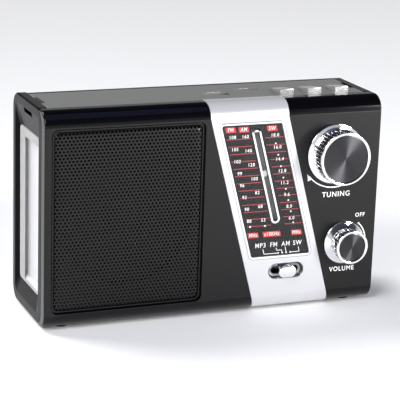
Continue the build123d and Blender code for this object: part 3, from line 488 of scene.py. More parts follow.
# Painted shade: darker opal with a fainter painted glow, for the shaded rear and top of the lamp's cover.
OPAL_PAINTED_SHADE = OpalAcrylic("acrylic_opal_edge", "#a6a6a4", 0.35, painted_glow=0.03)
BOARD = CircuitBoard("fibreglass_green_mask", "#12401f", 0.35)
LAMP_BOARD = CircuitBoard("fibreglass_white_mask", "#e4e4de", 0.4, track="#c9c9c2")
BLACK_PART = Moulded("abs_plain_black", "#101011", 0.38, grain=0.8, depth=0.012)
NICKEL = Brushed("steel_nickel_plated", "#b9b4a6", 0.25, 1.0, stretch=12.0, scratch=0.3)
SLEEVE = Moulded("pvc_shrink_blue", "#1d4f78", 0.25, grain=5.0, depth=0.02, coat=0.4)
RUBBER = Moulded("rubber_moulded_black", "#131313", 0.8, grain=0.3, depth=0.03)
AERIAL = Brushed("chrome_on_brass_tube", "#dfe0e2", 0.12, 1.0, stretch=50.0, scratch=0.5, depth=0.002)
WHITE_INK = Ink("ink_white", "#fafafa", 0.5, gloss=0.2)
# Painted shadow: the grey of the fine line round the dial window's bead.
SHADOW_LINE_GREY = Ink("ink_grey", "#8f9096", 0.5)
RED_INK = Ink("ink_red", "#cf4540", 0.5, gloss=0.2)
LINE_INK = Ink("ink_red_thin", "#a8474b", 0.5, gloss=0.2)
BLACK_INK = Ink("ink_black", "#101010", 0.5)

SLOT_FINISHES: dict[str, Finish] = {
    "case_front": BLACK_GLOSS,
    "case_rear": BLACK_ETCHED,
    "end_ring": BLACK_RING,
    "plate_grey": PLATE,
    "fascia_silver": SILVER,
    "dial_dark": DIAL,
    "lens_clear": WINDOW,
    "bright_trim": CHROME,
    "knob_black": CAPS["tuning_knob_cap"],
    "pointer_light": POINTER,
    "grille_black": GRILLE,
    "cone_paper": PAPER,
    "zinc_steel": ZINC,
    "ferrite_dark": FERRITE,
    "copper_wire": COPPER,
    "white_nylon": NYLON,
    "cord": CORD,
    "lamp_white": OPAL,
    "board_green": BOARD,
    "board_white": LAMP_BOARD,
    "black_plastic": BLACK_PART,
    "nickel_contact": NICKEL,
    "cell_wrap": SLEEVE,
    "rubber_foot": RUBBER,
    "aerial_chrome": AERIAL,
}


def dress(obj: Object, finish: Finish) -> None:
    """Puts one finish on every slot of an object."""
    if not obj.material_slots:
        obj.data.materials.append(finish.make())
    for slot in obj.material_slots:
        slot.material = finish.make()


def dress_nodes() -> None:
    """Dresses each CAD node in the finish of its record slot."""
    slots = {part["node"]: part["material_slot"] for part in frame["record"]["subparts"]}
    for name, obj in frame["nodes"].items():
        dress(obj, CAPS.get(name) or SLOT_FINISHES[slots[name]])
    LOG.info("dressed %d nodes", len(frame["nodes"]))


# ------------------------------------------------------------------ making pieces


def show(name: str, data: Any) -> Object:
    """A new object of the scene that holds some data."""
    obj = bpy.data.objects.new(name, data)
    bpy.context.scene.collection.objects.link(obj)
    return obj


def worked_out(obj: Object) -> Mesh:
    """The plain mesh that an object comes to, its modifiers applied."""
    bpy.context.view_layer.update()
    return bpy.data.meshes.new_from_object(obj.evaluated_get(bpy.context.evaluated_depsgraph_get()))


def new_piece(name: str, mesh: Mesh, finish: Finish, body: str, slot: str, smooth: float = 32.0) -> Object:
    """Links a finished mesh as a piece that rides on a body.

    Args:
        name: The piece's name.
        mesh: Its mesh, in the frame's own place.
        finish: What it is made of.
        body: The CAD body that it rides on.
        slot: The record's material slot; not used.
        smooth: Edges sharper than this many degrees stay sharp.

    Returns:
        The piece's object.
    """
    obj = show(name, mesh)
    dress(obj, finish)
    for face in mesh.polygons:
        face.use_smooth = True
    mesh.set_sharp_from_angle(angle=math.radians(smooth))
    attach(obj, body)
    LOG.info("%s: %d faces", name, len(mesh.polygons))
    return obj


def mesh_of(bm: BMesh, name: str) -> Mesh:
    """Closes a bmesh into a mesh with outward normals."""
    bmesh.ops.remove_doubles(bm, verts=bm.verts, dist=0.002 * MM)
    bmesh.ops.recalc_face_normals(bm, faces=bm.faces)
    mesh = bpy.data.meshes.new(name)
    bm.to_mesh(mesh)
    bm.free()
    return mesh


def join_meshes(name: str, meshes: Iterable[Mesh]) -> Mesh:
    """Joins meshes into one and drops the originals."""
    bm = bmesh.new()
    for mesh in meshes:
        bm.from_mesh(mesh)
        bpy.data.meshes.remove(mesh)
    return mesh_of(bm, name)


class Ends(Enum):
    """How a loft ends: left open, each end capped, or its last loop joined to its first."""

    OPEN = 0
    CAPPED = 1
    JOINED = 2


def loft(bm: BMesh, loops: Iterable[Iterable[Vector]], ends: Ends = Ends.CAPPED) -> None:
    """Bridges loops of as many points, each with the next.

    Args:
        bm: What it is added to.
        loops: The loops in order, in metres.
        ends: What happens at the first and the last loop.
    """
    rows = [[bm.verts.new(point) for point in loop] for loop in loops]
    pairs = list(zip(rows, rows[1:]))
    if ends is Ends.JOINED:
        pairs.append((rows[-1], rows[0]))
    for first, second in pairs:
        for i in range(len(first)):
            j = (i + 1) % len(first)
            bm.faces.new((first[i], first[j], second[j], second[i]))
    if ends is Ends.CAPPED:
        bm.faces.new(rows[0])
        bm.faces.new(rows[-1][::-1])


def turned(bm: BMesh, centre: Vector, profile: Sequence[Point], steps: int) -> None:
    """Turns a closed (radius, depth) profile about an axis along Y.

    Args:
        bm: What it is added to.
        centre: A point of the axis at the front face, in metres.
        profile: Radius and depth in millimetres, from the axis round to the axis.
        steps: Points round the turn.
    """
    rings = []
    for radius, depth in profile:
        points = circle((0, 0), radius, steps if radius else 1)
        rings.append([bm.verts.new(centre + Vector((x, depth, z)) * MM) for x, z in points])
    for first, second in zip(rings, rings[1:]):
        for i in range(steps):
            j = (i + 1) % steps
            near = [first[k % len(first)] for k in (i, j)]
            far = [second[k % len(second)] for k in (j, i)]
            unique = list(dict.fromkeys(near + far))
            if len(unique) > 2:
                bm.faces.new(unique)


def outline_plate(bm: BMesh, points: Sequence[Point], depth0: float, depth1: float) -> None:
    """Adds a flat plate on the front, from its (x, height) outline, between two depths."""
    loft(bm, [[at(x, depth, z) for x, z in points] for depth in (depth0, depth1)])


def ring_plate(bm: BMesh, inner: Sequence[Point], outer: Sequence[Point], depth0: float, depth1: float) -> None:
    """Adds a flat ring on the front, between two outlines of as many points and two depths."""
    sides = ((inner, depth0), (outer, depth0), (outer, depth1), (inner, depth1))
    loft(bm, [[at(x, depth, z) for x, z in outline] for outline, depth in sides], Ends.JOINED)


# ------------------------------------------------------------------ outlines


def on_circle(centre: Point, radius: float, degrees: float) -> Point:
    """The point of a circle at an angle from the right, counterclockwise."""
    angle = math.radians(degrees)
    return (centre[0] + radius * math.cos(angle), centre[1] + radius * math.sin(angle))


def circle(centre: Point, radius: float, steps: int) -> list[Point]:
    """A circle's outline, counterclockwise."""
    return [on_circle(centre, radius, 360 * k / steps) for k in range(steps)]


def corners(x0: float, x1: float, z0: float, z1: float, lean: float = 0.0) -> list[Point]:
    """A rectangle's corners, counterclockwise; lean moves its foot right and its top left."""
    return [(x0 + lean, z0), (x1 + lean, z0), (x1 - lean, z1), (x0 - lean, z1)]


def rounded(points: Sequence[Point], radius: float, steps: int = 6) -> list[Point]:
    """Rounds the corners of a convex outline.

    Args:
        points: The corners in order.
        radius: The rounding, in the same units.
        steps: Points in each round.

    Returns:
        The rounded outline.
    """
    result = []
    for i, point in enumerate(points):
        here = Vector(point)
        before, after = Vector(points[i - 1]) - here, Vector(points[(i + 1) % len(points)]) - here
        before.normalize()
        after.normalize()
        half = before.angle(after) / 2
        centre = here + (before + after).normalized() * (radius / math.sin(half))
        start = here + before * radius / math.tan(half) - centre
        end = here + after * radius / math.tan(half) - centre
        sweep = start.angle_signed(end)
        for k in range(steps + 1):
            result.append(tuple(centre + Matrix.Rotation(-sweep * k / steps, 2) @ start))
    return result


def stadium(centre: Point, length: float, width: float, tilt: float, steps: int = 16) -> list[Point]:
    """The outline of a slot with round ends.

    Args:
        centre: Its middle.
        length: End to end.
        width: Across.
        tilt: Degrees from X to its length, counterclockwise.
        steps: Points in each round end.

    Returns:
        The outline, counterclockwise.
    """
    half = (length - width) / 2
    points = []
    for side, start in ((1, -90), (-1, 90)):
        for k in range(steps + 1):
            points.append(Vector(on_circle((side * half, 0), width / 2, start + 180 * k / steps)))
    turn = Matrix.Rotation(math.radians(tilt), 2)
    return [tuple(Vector(centre) + turn @ point) for point in points]


# ------------------------------------------------------------------ lettering


INK: Point = (-0.04, 0.05)
"""Depths of the face and the back of what is printed on the front, in millimetres."""
CAPITAL = 0.7
"""Height of a capital against the size of its lettering."""


class Weight(Enum):
    """How heavy a piece of lettering is drawn."""

    MEDIUM = 0.004
    BOLD = 0.008


def lettering(
    words: str,
    place: Point,
    height: float,
    weight: Weight = Weight.MEDIUM,
    narrow: float = 1.0,
    depth: Point = (-0.04, 0.1),
    spread: float = 1.16,
) -> Mesh:
    """Flat generic lettering on the front.

    Args:
        words: What it says.
        place: (x, height) of its middle, in millimetres.
        height: Height of a capital, in millimetres.
        weight: How much each stroke is thickened.
        narrow: Width of a letter against the plain one.
        depth: Depths of its face and of its back.
        spread: Room from letter to letter, against the plain one.

    Returns:
        A closed mesh in the frame's own place.
    """
    curve = bpy.data.curves.new("words", "FONT")
    curve.body = words
    curve.align_x, curve.align_y = "CENTER", "CENTER"
    curve.offset = weight.value
    curve.space_character = spread
    curve.resolution_u = 3
    curve.extrude = 0.5
    obj = show("words", curve)
    mesh = worked_out(obj)
    bpy.data.objects.remove(obj)
    bpy.data.curves.remove(curve)
    size, thick = height / CAPITAL, depth[1] - depth[0]
    for vertex in mesh.vertices:
        x, y, z = vertex.co
        vertex.co = at(place[0] + x * narrow * size, sum(depth) / 2 - z * thick, place[1] + y * size)
    return mesh


# ------------------------------------------------------------------ geometry nodes


class Tree(Nodes):
    """A geometry node tree with named inputs, used once and baked to a mesh."""

    KINDS = {float: "Float", int: "Int", Object: "Object", Material: "Material"}

    def __init__(self, name: str, sizes: dict[str, Any]) -> None:
        """Starts the tree.

        Args:
            name: The tree's name.
            sizes: Input name to its value: a number, a whole number, an object or a material.
        """
        super().__init__(bpy.data.node_groups.new(name, "GeometryNodeTree"))
        self.values = sizes
        sockets = self.tree.interface
        for label, value in sizes.items():
            sockets.new_socket(label, in_out="INPUT", socket_type="NodeSocket" + self.KINDS[type(value)])
        sockets.new_socket("Geometry", in_out="OUTPUT", socket_type="NodeSocketGeometry")
        self.source = self.add("NodeGroupInput")

    def size(self, label: str) -> Socket:
        """The socket of a named input."""
        return self.source.outputs[label]

    def points(self, count: Socket) -> tuple[Socket, Socket]:
        """A number of points, and the socket that gives each its index."""
        index = self.add("GeometryNodeInputIndex").outputs[0]
        return self.add("GeometryNodePoints", {"Count": count}).outputs[0], index

    def shifted(self, geometry: Socket, how: str, **place: Any) -> Socket:
        """Moves geometry.

        Args:
            geometry: What is moved.
            how: "Position" to move to a place, "Offset" to move by it.
            **place: Its X, Y and Z; each left out is 0.

        Returns:
            The moved geometry's socket.
        """
        vector = self.add("ShaderNodeCombineXYZ", place).outputs[0]
        return self.add("GeometryNodeSetPosition", {"Geometry": geometry, how: vector}).outputs[0]

    def instance(self, points: Socket, shape: str, **inputs: Any) -> Socket:
        """Places the object of a named input on points.

        Args:
            points: The points' geometry.
            shape: Name of the object input.
            **inputs: Further inputs of the node, such as Rotation.

        Returns:
            The instances' socket.
        """
        info = self.add("GeometryNodeObjectInfo", {"Object": self.size(shape)})
        settings = {"Points": points, "Instance": info.outputs["Geometry"], **inputs}
        return self.add("GeometryNodeInstanceOnPoints", settings).outputs[0]

    def bake(self, instances: Socket, name: str) -> Mesh:
        """Ends the tree, runs it and removes the objects that it repeated.

        Args:
            instances: What the tree made.
            name: The mesh's name.

        Returns:
            The result as a plain mesh.
        """
        real = self.add("GeometryNodeRealizeInstances", {"Geometry": instances}).outputs[0]
        painted = self.add("GeometryNodeSetMaterial", {"Geometry": real, "Material": self.size("Material")})
        self.add("NodeGroupOutput", {"Geometry": painted.outputs[0]})
        carrier = show(name, bpy.data.meshes.new(name))
        modifier = carrier.modifiers.new("make", "NODES")
        modifier.node_group = self.tree
        for item in self.tree.interface.items_tree:
            if item.in_out == "INPUT":
                modifier[item.identifier] = self.values[item.name]
        mesh = worked_out(carrier)
        for obj in (carrier, *(value for value in self.values.values() if isinstance(value, Object))):
            bpy.data.objects.remove(obj)
        mesh.name = name
        return mesh


def template(name: str, bm: BMesh) -> Object:
    """An object at the origin for a tree to repeat; the tree's bake removes it."""
    return show(name, mesh_of(bm, name))


# ------------------------------------------------------------------ speaker grille


@dataclass
class SpeakerGrille:
    """Perforated steel grille with its border rolled back into the case."""

    pitch: float = 2.0
    hole_r: float = 0.66
    sheet: float = 0.5
    roll: float = 3.2
    roll_depth: float = 0.62
    corner: float = 3.6
    margin: float = 0.9
    sides: int = 12
    node: str = "speaker_grille"
    low: Vector = field(init=False)
    high: Vector = field(init=False)

    def __post_init__(self) -> None:
        """Reads the grille's place from the frame."""
        low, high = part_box(self.node)
        self.low, self.high = Vector(low), Vector(high)

    def cell(self) -> Object:
        """One hexagon of the sheet with its hole, front at Y = 0. Its outer wall stays open."""
        side, point = self.pitch / 2, self.pitch / 2 / math.cos(math.pi / 6)
        hexagon = [on_circle((0, 0), (side, point)[i % 2], 360 * i / self.sides) for i in range(self.sides)]
        hole = circle((0, 0), self.hole_r, self.sides)
        bm = bmesh.new()
        rings = ((hexagon, 0.0), (hole, 0.0), (hole, self.sheet), (hexagon, self.sheet))
        loft(bm, [[Vector((x, depth, z)) * MM for x, z in ring] for ring, depth in rings], Ends.OPEN)
        return template("grille_cell", bm)

    def perforated(self) -> Mesh:
        """The whole sheet, bent back near its border."""
        size = self.high - self.low
        sizes = {
            "Cell": self.cell(),
            "Material": GRILLE.make(),
            "Columns": int(size.x / MM / self.pitch) + 1,
            "Rows": int(size.z / MM / (self.pitch * math.sqrt(3) / 2)) + 1,
            "Pitch": self.pitch * MM,
            "Half Width": size.x / 2 - self.margin * MM,
            "Half Height": size.z / 2 - self.margin * MM,
            "Corner": self.corner * MM,
            "Roll": self.roll * MM,
        }
        tree = Tree("perforated_sheet", sizes)
        calc = tree.calc
        columns, rows, pitch, roll = (tree.size(label) for label in ("Columns", "Rows", "Pitch", "Roll"))
        # a line of points for each row, every second row half a pitch along
        points, index = tree.points(calc("MULTIPLY", columns, rows))
        row = calc("FLOOR", calc("DIVIDE", index, columns))
        shift = calc("MULTIPLY", calc("MODULO", row, 2.0), 0.5)
        from_middle = calc("SUBTRACT", calc("MULTIPLY", columns, 0.5), 0.25)
        along = calc("SUBTRACT", calc("ADD", calc("MODULO", index, columns), shift), from_middle)
        up = calc("SUBTRACT", row, calc("MULTIPLY", calc("SUBTRACT", rows, 1.0), 0.5))
        z = calc("MULTIPLY", up, calc("MULTIPLY", pitch, math.sqrt(3) / 2))
        placed = tree.shifted(points, "Position", X=calc("MULTIPLY", along, pitch), Z=z)
        outside = calc("GREATER_THAN", self.edge_distance(tree), 0.0)
        kept = tree.add("GeometryNodeDeleteGeometry", {"Geometry": placed, "Selection": outside}).outputs[0]
        cells = tree.instance(kept, "Cell")
        sheet = tree.add("GeometryNodeRealizeInstances", {"Geometry": cells}).outputs[0]
        merged = tree.add("GeometryNodeMergeByDistance", {"Geometry": sheet, "Distance": 0.01 * MM}).outputs[0]
        # the border follows a quarter circle of the roll's radius
        past = calc("MAXIMUM", calc("ADD", self.edge_distance(tree), roll), 0.0)
        past = calc("MINIMUM", past, calc("MULTIPLY", roll, 0.96))
        square = calc("SUBTRACT", calc("POWER", roll, 2.0), calc("POWER", past, 2.0))
        back = calc("SUBTRACT", roll, calc("SQRT", square))
        bent = tree.shifted(merged, "Offset", Y=calc("MULTIPLY", back, self.roll_depth))
        return tree.bake(bent, "grille_sheet")

    def edge_distance(self, tree: Tree) -> Socket:
        """Signed distance to the sheet's rounded outline, negative inside.

        Args:
            tree: The tree that reads it.

        Returns:
            The distance's socket.
        """
        calc, corner = tree.calc, tree.size("Corner")
        split = tree.add("ShaderNodeSeparateXYZ", {0: tree.add("GeometryNodeInputPosition").outputs[0]})
        over = []
        for axis, half in (("X", "Half Width"), ("Z", "Half Height")):
            reach = calc("SUBTRACT", tree.size(half), corner)
            over.append(calc("SUBTRACT", calc("ABSOLUTE", split.outputs[axis]), reach))
        far = [calc("POWER", calc("MAXIMUM", value, 0.0), 2.0) for value in over]
        inside = calc("MINIMUM", calc("MAXIMUM", *over), 0.0)
        return calc("SUBTRACT", calc("ADD", calc("SQRT", calc("ADD", *far)), inside), corner)

    def rim(self) -> Mesh:
        """The turned-in edge behind the sheet's border."""
        x, z = spot(self.node)
        outlines = []
        for inset in (1.0, 0.35):
            w, h = (self.high - self.low).x / MM / 2 - inset, (self.high - self.low).z / MM / 2 - inset
            outlines.append(rounded(corners(x - w, x + w, z - h, z + h), self.corner - inset))
        bm = bmesh.new()
        ring_plate(bm, *outlines, 1.25, 1.85)
        return mesh_of(bm, "grille_rim")

    def build(self) -> None:
        """Makes the sheet and its edge, and lets them stand for the CAD grille."""
        centre = middle(self.node)
        mesh = self.perforated()
        mesh.transform(Matrix.Translation((centre.x, self.low.y + 0.02 * MM, centre.z)))
        bm = bmesh.new()
        bm.from_mesh(mesh)
        sheet = new_piece("grille_sheet", mesh_of(bm, "grille_sheet"), GRILLE, "case", "grille_black")
        new_piece("grille_rim", self.rim(), GRILLE, "case", "grille_black")
        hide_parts(self.node)


# ------------------------------------------------------------------ knobs


@dataclass
class Knob:
    """Chrome-plated knob with a flared foot, a finely ribbed waist and a bright rim."""

    node: str
    body: str
    foot_r: float
    waist_r: float
    rim_r: float
    cap_r: float
    ribs: int
    flare: float
    rib_r: float = 0.42
    back: float = 0.4

    def axis(self) -> Vector:
        """A point of the knob's axis on the front face."""
        centre = middle(self.node)
        return Vector((centre.x, FRONT, centre.z))

    def reach(self) -> float:
        """Millimetres from the front face to the knob's face."""
        return (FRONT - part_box(self.node)[0][1]) / MM

    def profile(self) -> list[Point]:
        """(radius, depth) from the axis at the back, round the knob, to the axis at its face."""
        face, lip, edge, steps = -self.reach(), 0.45, 0.35, 5
        spread = self.foot_r - 0.3 - self.waist_r
        return [
            (0, -self.back),
            (self.foot_r - 0.15, -self.back),
            (self.foot_r, -self.back - 0.15),
            *(on_circle((self.foot_r - edge, -1.15), edge, -22.5 * k) for k in range(5)),
            *(
                (self.waist_r + spread * (1 - k / steps) ** 1.2, -1.5 - self.flare * k / steps)
                for k in range(1, steps + 1)
            ),
            (self.waist_r, face + 1.5),
            (self.rim_r - 0.25, face + 1.25),
            (self.rim_r, face + 0.95),
            *(on_circle((self.rim_r - lip, face + lip), lip, -15 * k) for k in range(7)),
            (self.cap_r + 0.75, face + 0.02),
            (self.cap_r + 0.35, face + 0.25),
            (self.cap_r + 0.12, face + 0.9),
            (0, face + 0.9),
        ]

    def rib(self) -> Object:
        """One rib of the waist, with round ends, standing on the X axis."""
        start, end = -1.7 - self.flare, -self.reach() + 1.35
        inner = [(start, 0.15), (start - 0.25, 0.8), (start - 0.6, 1.0)]
        outer = [(end + 0.6, 1.0), (end + 0.2, 0.8), (end, 0.15)]
        half_round = [on_circle((0, 0), self.rib_r, -90 + 36 * k) for k in range(6)]
        bm = bmesh.new()
        loops = [
            [Vector((self.waist_r + (u - 0.12) * size, depth, 0.9 * v * size)) * MM for u, v in half_round]
            for depth, size in inner + outer
        ]
        loft(bm, loops)
        return template("rib", bm)

    def ribbing(self) -> Mesh:
        """All the ribs, repeated round the axis."""
        sizes = {"Rib": self.rib(), "Material": CHROME.make(), "Ribs": self.ribs}
        tree = Tree(self.node + "_ribs", sizes)
        points, index = tree.points(tree.size("Ribs"))
        turn = tree.calc("MULTIPLY", tree.calc("DIVIDE", index, tree.size("Ribs")), 2 * math.pi)
        rotation = tree.add("ShaderNodeCombineXYZ", {"Y": turn}).outputs[0]
        mesh = tree.bake(tree.instance(points, "Rib", Rotation=rotation), self.node + "_ribs")
        mesh.transform(Matrix.Translation(self.axis()))
        return mesh

    def build(self) -> None:
        """Makes the knob and its ribs, which stand for the CAD knob."""
        bm = bmesh.new()
        turned(bm, self.axis(), self.profile(), 128)
        mesh = mesh_of(bm, self.node + "_turned")
        body = new_piece(self.node + "_plated", mesh, CHROME, self.body, "bright_trim", 28)
        new_piece(self.node + "_ribs", self.ribbing(), CHROME, self.body, "bright_trim", 50)
        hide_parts(self.node)


# ------------------------------------------------------------------ dial


@dataclass
class Dial:
    """Everything printed or raised in the dial window and round it."""

    first_line: float = 93.25
    line_step: float = 3.93
    line_lean: float = 0.285
    lines: int = 13
    figure: float = 1.75
    print_depth: float = 0.26
    window: Point3 = (29.2, 100.8, 33.6)
    bend: Point = (16.6, 104.5)
    slot_centre: Point = (27.0, 72.75)
    slot_tilt: float = 90 + math.degrees(math.atan(SLANT))

    def layer(self, proud: float) -> Point:
        """Depths of a printed layer that stands so many millimetres proud of the dial."""
        return (self.print_depth - proud, self.print_depth + 0.03)

    def words(self, text: str, place: Point, size: float, narrow: float) -> Mesh:
        """Bold lettering on the dial plate.

        Args:
            text: What it says.
            place: (x, height) of its middle.
            size: Height of a capital.
            narrow: Width against the plain letter.

        Returns:
            Its mesh.
        """
        return lettering(text, place, size, Weight.BOLD, narrow, self.layer(0.05))

    def figures(self) -> Mesh:
        """The three columns of figures and the band legend."""
        meshes = []
        columns = (
            ("108 105 102 99 96 93 90 88", (7.3, 94.4), (18.4, 49.1)),
            ("160 140 120 100 82 68 53", (14.4, 94.4), (26.4, 49.1)),
            ("18.0 16.0 14.4 12.8 11.2 9.6 8.0 6.0", (31.0, 94.4), (42.6, 49.1)),
        )
        for column, top, bottom in columns:
            texts = column.split()
            for i, text in enumerate(texts):
                t = i / (len(texts) - 1)
                place = (top[0] + (bottom[0] - top[0]) * t, top[1] + (bottom[1] - top[1]) * t)
                meshes.append(self.words(text, place, self.figure, 0.95))
        for text, x in (("MP3", 25.4), ("FM", 33.0), ("AM", 39.9), ("SW", 46.6)):
            meshes.append(self.words(text, (x, 35.2), 2.5, 0.9))
        return join_meshes("dial_figures", meshes)

    def badges(self) -> tuple[Mesh, Mesh]:
        """The red badges, and the lettering that lies on them."""
        height = 2.9
        bm = bmesh.new()
        words = []
        for text, (x, z), width, size in (
            ("FM", (6.1, 98.3), 5.6, 2.0),
            ("AM", (13.4, 98.2), 5.6, 2.0),
            ("SW", (29.2, 98.1), 5.6, 2.0),
            ("MHz", (21.0, 41.2), 5.9, 1.9),
            ("x10KHz", (31.6, 41.2), 10.0, 1.9),
            ("MHz", (45.8, 41.1), 5.9, 1.9),
        ):
            w, h = width / 2, height / 2
            badge = rounded(corners(x - w, x + w, z - h, z + h, h * SLANT), 0.3, 3)
            outline_plate(bm, badge, *self.layer(0.02))
            words.append(self.words(text, (x, z), size, 0.85))
            words[-1].transform(Matrix.Translation((0, -0.03 * MM, 0)))
        return mesh_of(bm, "dial_badges"), join_meshes("dial_badge_words", words)

    def rule(self) -> Object:
        """A thin rule 1 mm long, with its left end at the origin."""
        bm = bmesh.new()
        bmesh.ops.create_cube(bm, size=1.0)
        for vertex in bm.verts:
            x, y, z = vertex.co
            vertex.co = Vector((x + 0.5, y * 0.05, z * 0.42)) * MM
        return template("rule", bm)

    def rules(self, start: float, length: float) -> Mesh:
        """A column of red rules that leans with the band.

        Args:
            start: x of the first rule's left end.
            length: Length of each rule.

        Returns:
            Their mesh.
        """
        sizes = {
            "Rule": self.rule(),
            "Material": LINE_INK.make(),
            "Count": self.lines,
            "Step": self.line_step * MM,
            "Lean": self.line_lean,
            "Length": length,
        }
        tree = Tree("dial_rules", sizes)
        points, index = tree.points(tree.size("Count"))
        down = tree.calc("MULTIPLY", index, tree.size("Step"))
        across = tree.calc("MULTIPLY", down, tree.size("Lean"))
        placed = tree.shifted(points, "Position", X=across, Z=tree.calc("MULTIPLY", down, -1.0))
        scale = tree.add("ShaderNodeCombineXYZ", {"X": tree.size("Length"), "Y": 1.0, "Z": 1.0}).outputs[0]
        mesh = tree.bake(tree.instance(placed, "Rule", Scale=scale), "dial_rules")
        mesh.transform(Matrix.Translation(at(start, self.print_depth, self.first_line)))
        return mesh

    def dots(self) -> Mesh:
        """White dots between the shortwave figures, at the foot of the columns and at the band legend."""
        bm = bmesh.new()
        places = [(31.6 + 1.73 * i, 90.0 - 6.2 * i, 0.45) for i in range(8)]
        places += [(19.1, 46.0, 0.5), (27.5, 45.9, 0.5)]
        places += [(x, 30.4, 0.42) for x in (35.8, 38.1, 40.4, 42.7)]
        for x, z, radius in places:
            outline_plate(bm, circle((x, z), radius, 12), *self.layer(0.06))
        return mesh_of(bm, "dial_dots")

    def leaders(self) -> Mesh:
        """Thin lines from the band legend to the four dots above the switch."""
        bm = bmesh.new()
        half = 0.17
        for path in (
            ((26.9, 33.1), (27.7, 30.4), (35.4, 30.4)),
            ((34.5, 33.2), (34.9, 32.0), (37.7, 32.0), (38.0, 30.8)),
            ((39.7, 33.3), (40.3, 30.8)),
            ((47.3, 32.9), (47.9, 30.4), (43.1, 30.4)),
        ):
            for start, end in zip(path, path[1:]):
                run = (Vector(end) - Vector(start)).normalized() * half
                side = Vector((-run.y, run.x))
                a, b = Vector(start) - run, Vector(end) + run
                outline_plate(bm, [a - side, b - side, b + side, a + side], *self.layer(0.04))
        return mesh_of(bm, "dial_leaders")

    def slot_line(self) -> Mesh:
        """The white outline of the pointer's slot, filled in above the slot as a crescent."""
        bm = bmesh.new()
        inner = stadium(self.slot_centre, 51.5, 2.9, self.slot_tilt)
        outer = stadium(self.slot_centre, 53.4, 4.9, self.slot_tilt)
        ring_plate(bm, inner, outer, *self.layer(0.1))
        peak = max(range(len(outer)), key=lambda i: outer[i][1])
        crescent = [outer[(peak + k) % len(outer)] for k in range(-7, 8)]
        outline_plate(bm, crescent, *self.layer(0.1))
        return mesh_of(bm, "dial_slot_line")

    def slot_floor(self) -> Mesh:
        """A grey strip behind the slot, against which the pointer shows."""
        bm = bmesh.new()
        outline_plate(bm, stadium(self.slot_centre, 53.0, 3.9, self.slot_tilt), 2.9, 3.0)
        return mesh_of(bm, "dial_slot_floor")

    def window_outline(self, grow: float) -> list[Point]:
        """The dial window's rounded outline, grown by some millimetres."""
        low, high, width = self.window
        low, high, half = low - grow, high + grow, width / 2 + grow
        low_x, high_x = (self.bend[0] + (self.bend[1] - h) * SLANT for h in (low, high))
        points = [(low_x - half, low), (low_x + half, low), (high_x + half, high), (high_x - half, high)]
        return rounded(points, 1.3 + max(grow, -0.4), 8)

    def window_bead(self) -> Mesh:
        """The raised bead round the window, from its (growth, depth) section."""
        bm = bmesh.new()
        foot = ((0.02, 0.35), (0.02, -0.35), (0.15, -0.55), (0.4, -0.66))
        crown = ((0.8, -0.66), (1.05, -0.55), (1.2, -0.36), (1.2, 0.35))
        loops = [[at(x, depth, z) for x, z in self.window_outline(grow)] for grow, depth in foot + crown]
        loft(bm, loops, Ends.JOINED)
        return mesh_of(bm, "window_bead")

    def window_line(self) -> Mesh:
        """Painted shadow: a fine grey line just outside the bead."""
        bm = bmesh.new()
        ring_plate(bm, self.window_outline(1.2), self.window_outline(1.48), -0.42, -0.3)
        return mesh_of(bm, "window_line")

    def build(self) -> None:
        """Makes all the printing and the bead; all of it rides on the case."""
        badge, badge_words = self.badges()
        for mesh, finish, slot in (
            (self.figures(), WHITE_INK, "pointer_light"),
            (badge, RED_INK, "dial_dark"),
            (badge_words, WHITE_INK, "pointer_light"),
            (self.dots(), WHITE_INK, "pointer_light"),
            (self.leaders(), WHITE_INK, "pointer_light"),
            (self.slot_line(), WHITE_INK, "pointer_light"),
            (self.window_bead(), BEAD, "bright_trim"),
            # the bead's painted shadow line, in grey
            (self.window_line(), SHADOW_LINE_GREY, "fascia_silver"),
            (self.slot_floor(), TRACK_GREY, "black_plastic"),
        ):
            new_piece(mesh.name, mesh, finish, "case", slot)
        for name, start, length in (("dial_rules_left", 4.0, 13.4), ("dial_rules_right", 25.4, 10.6)):
            new_piece(name, self.rules(start, length), LINE_INK, "case", "dial_dark")


# ------------------------------------------------------------------ front lettering


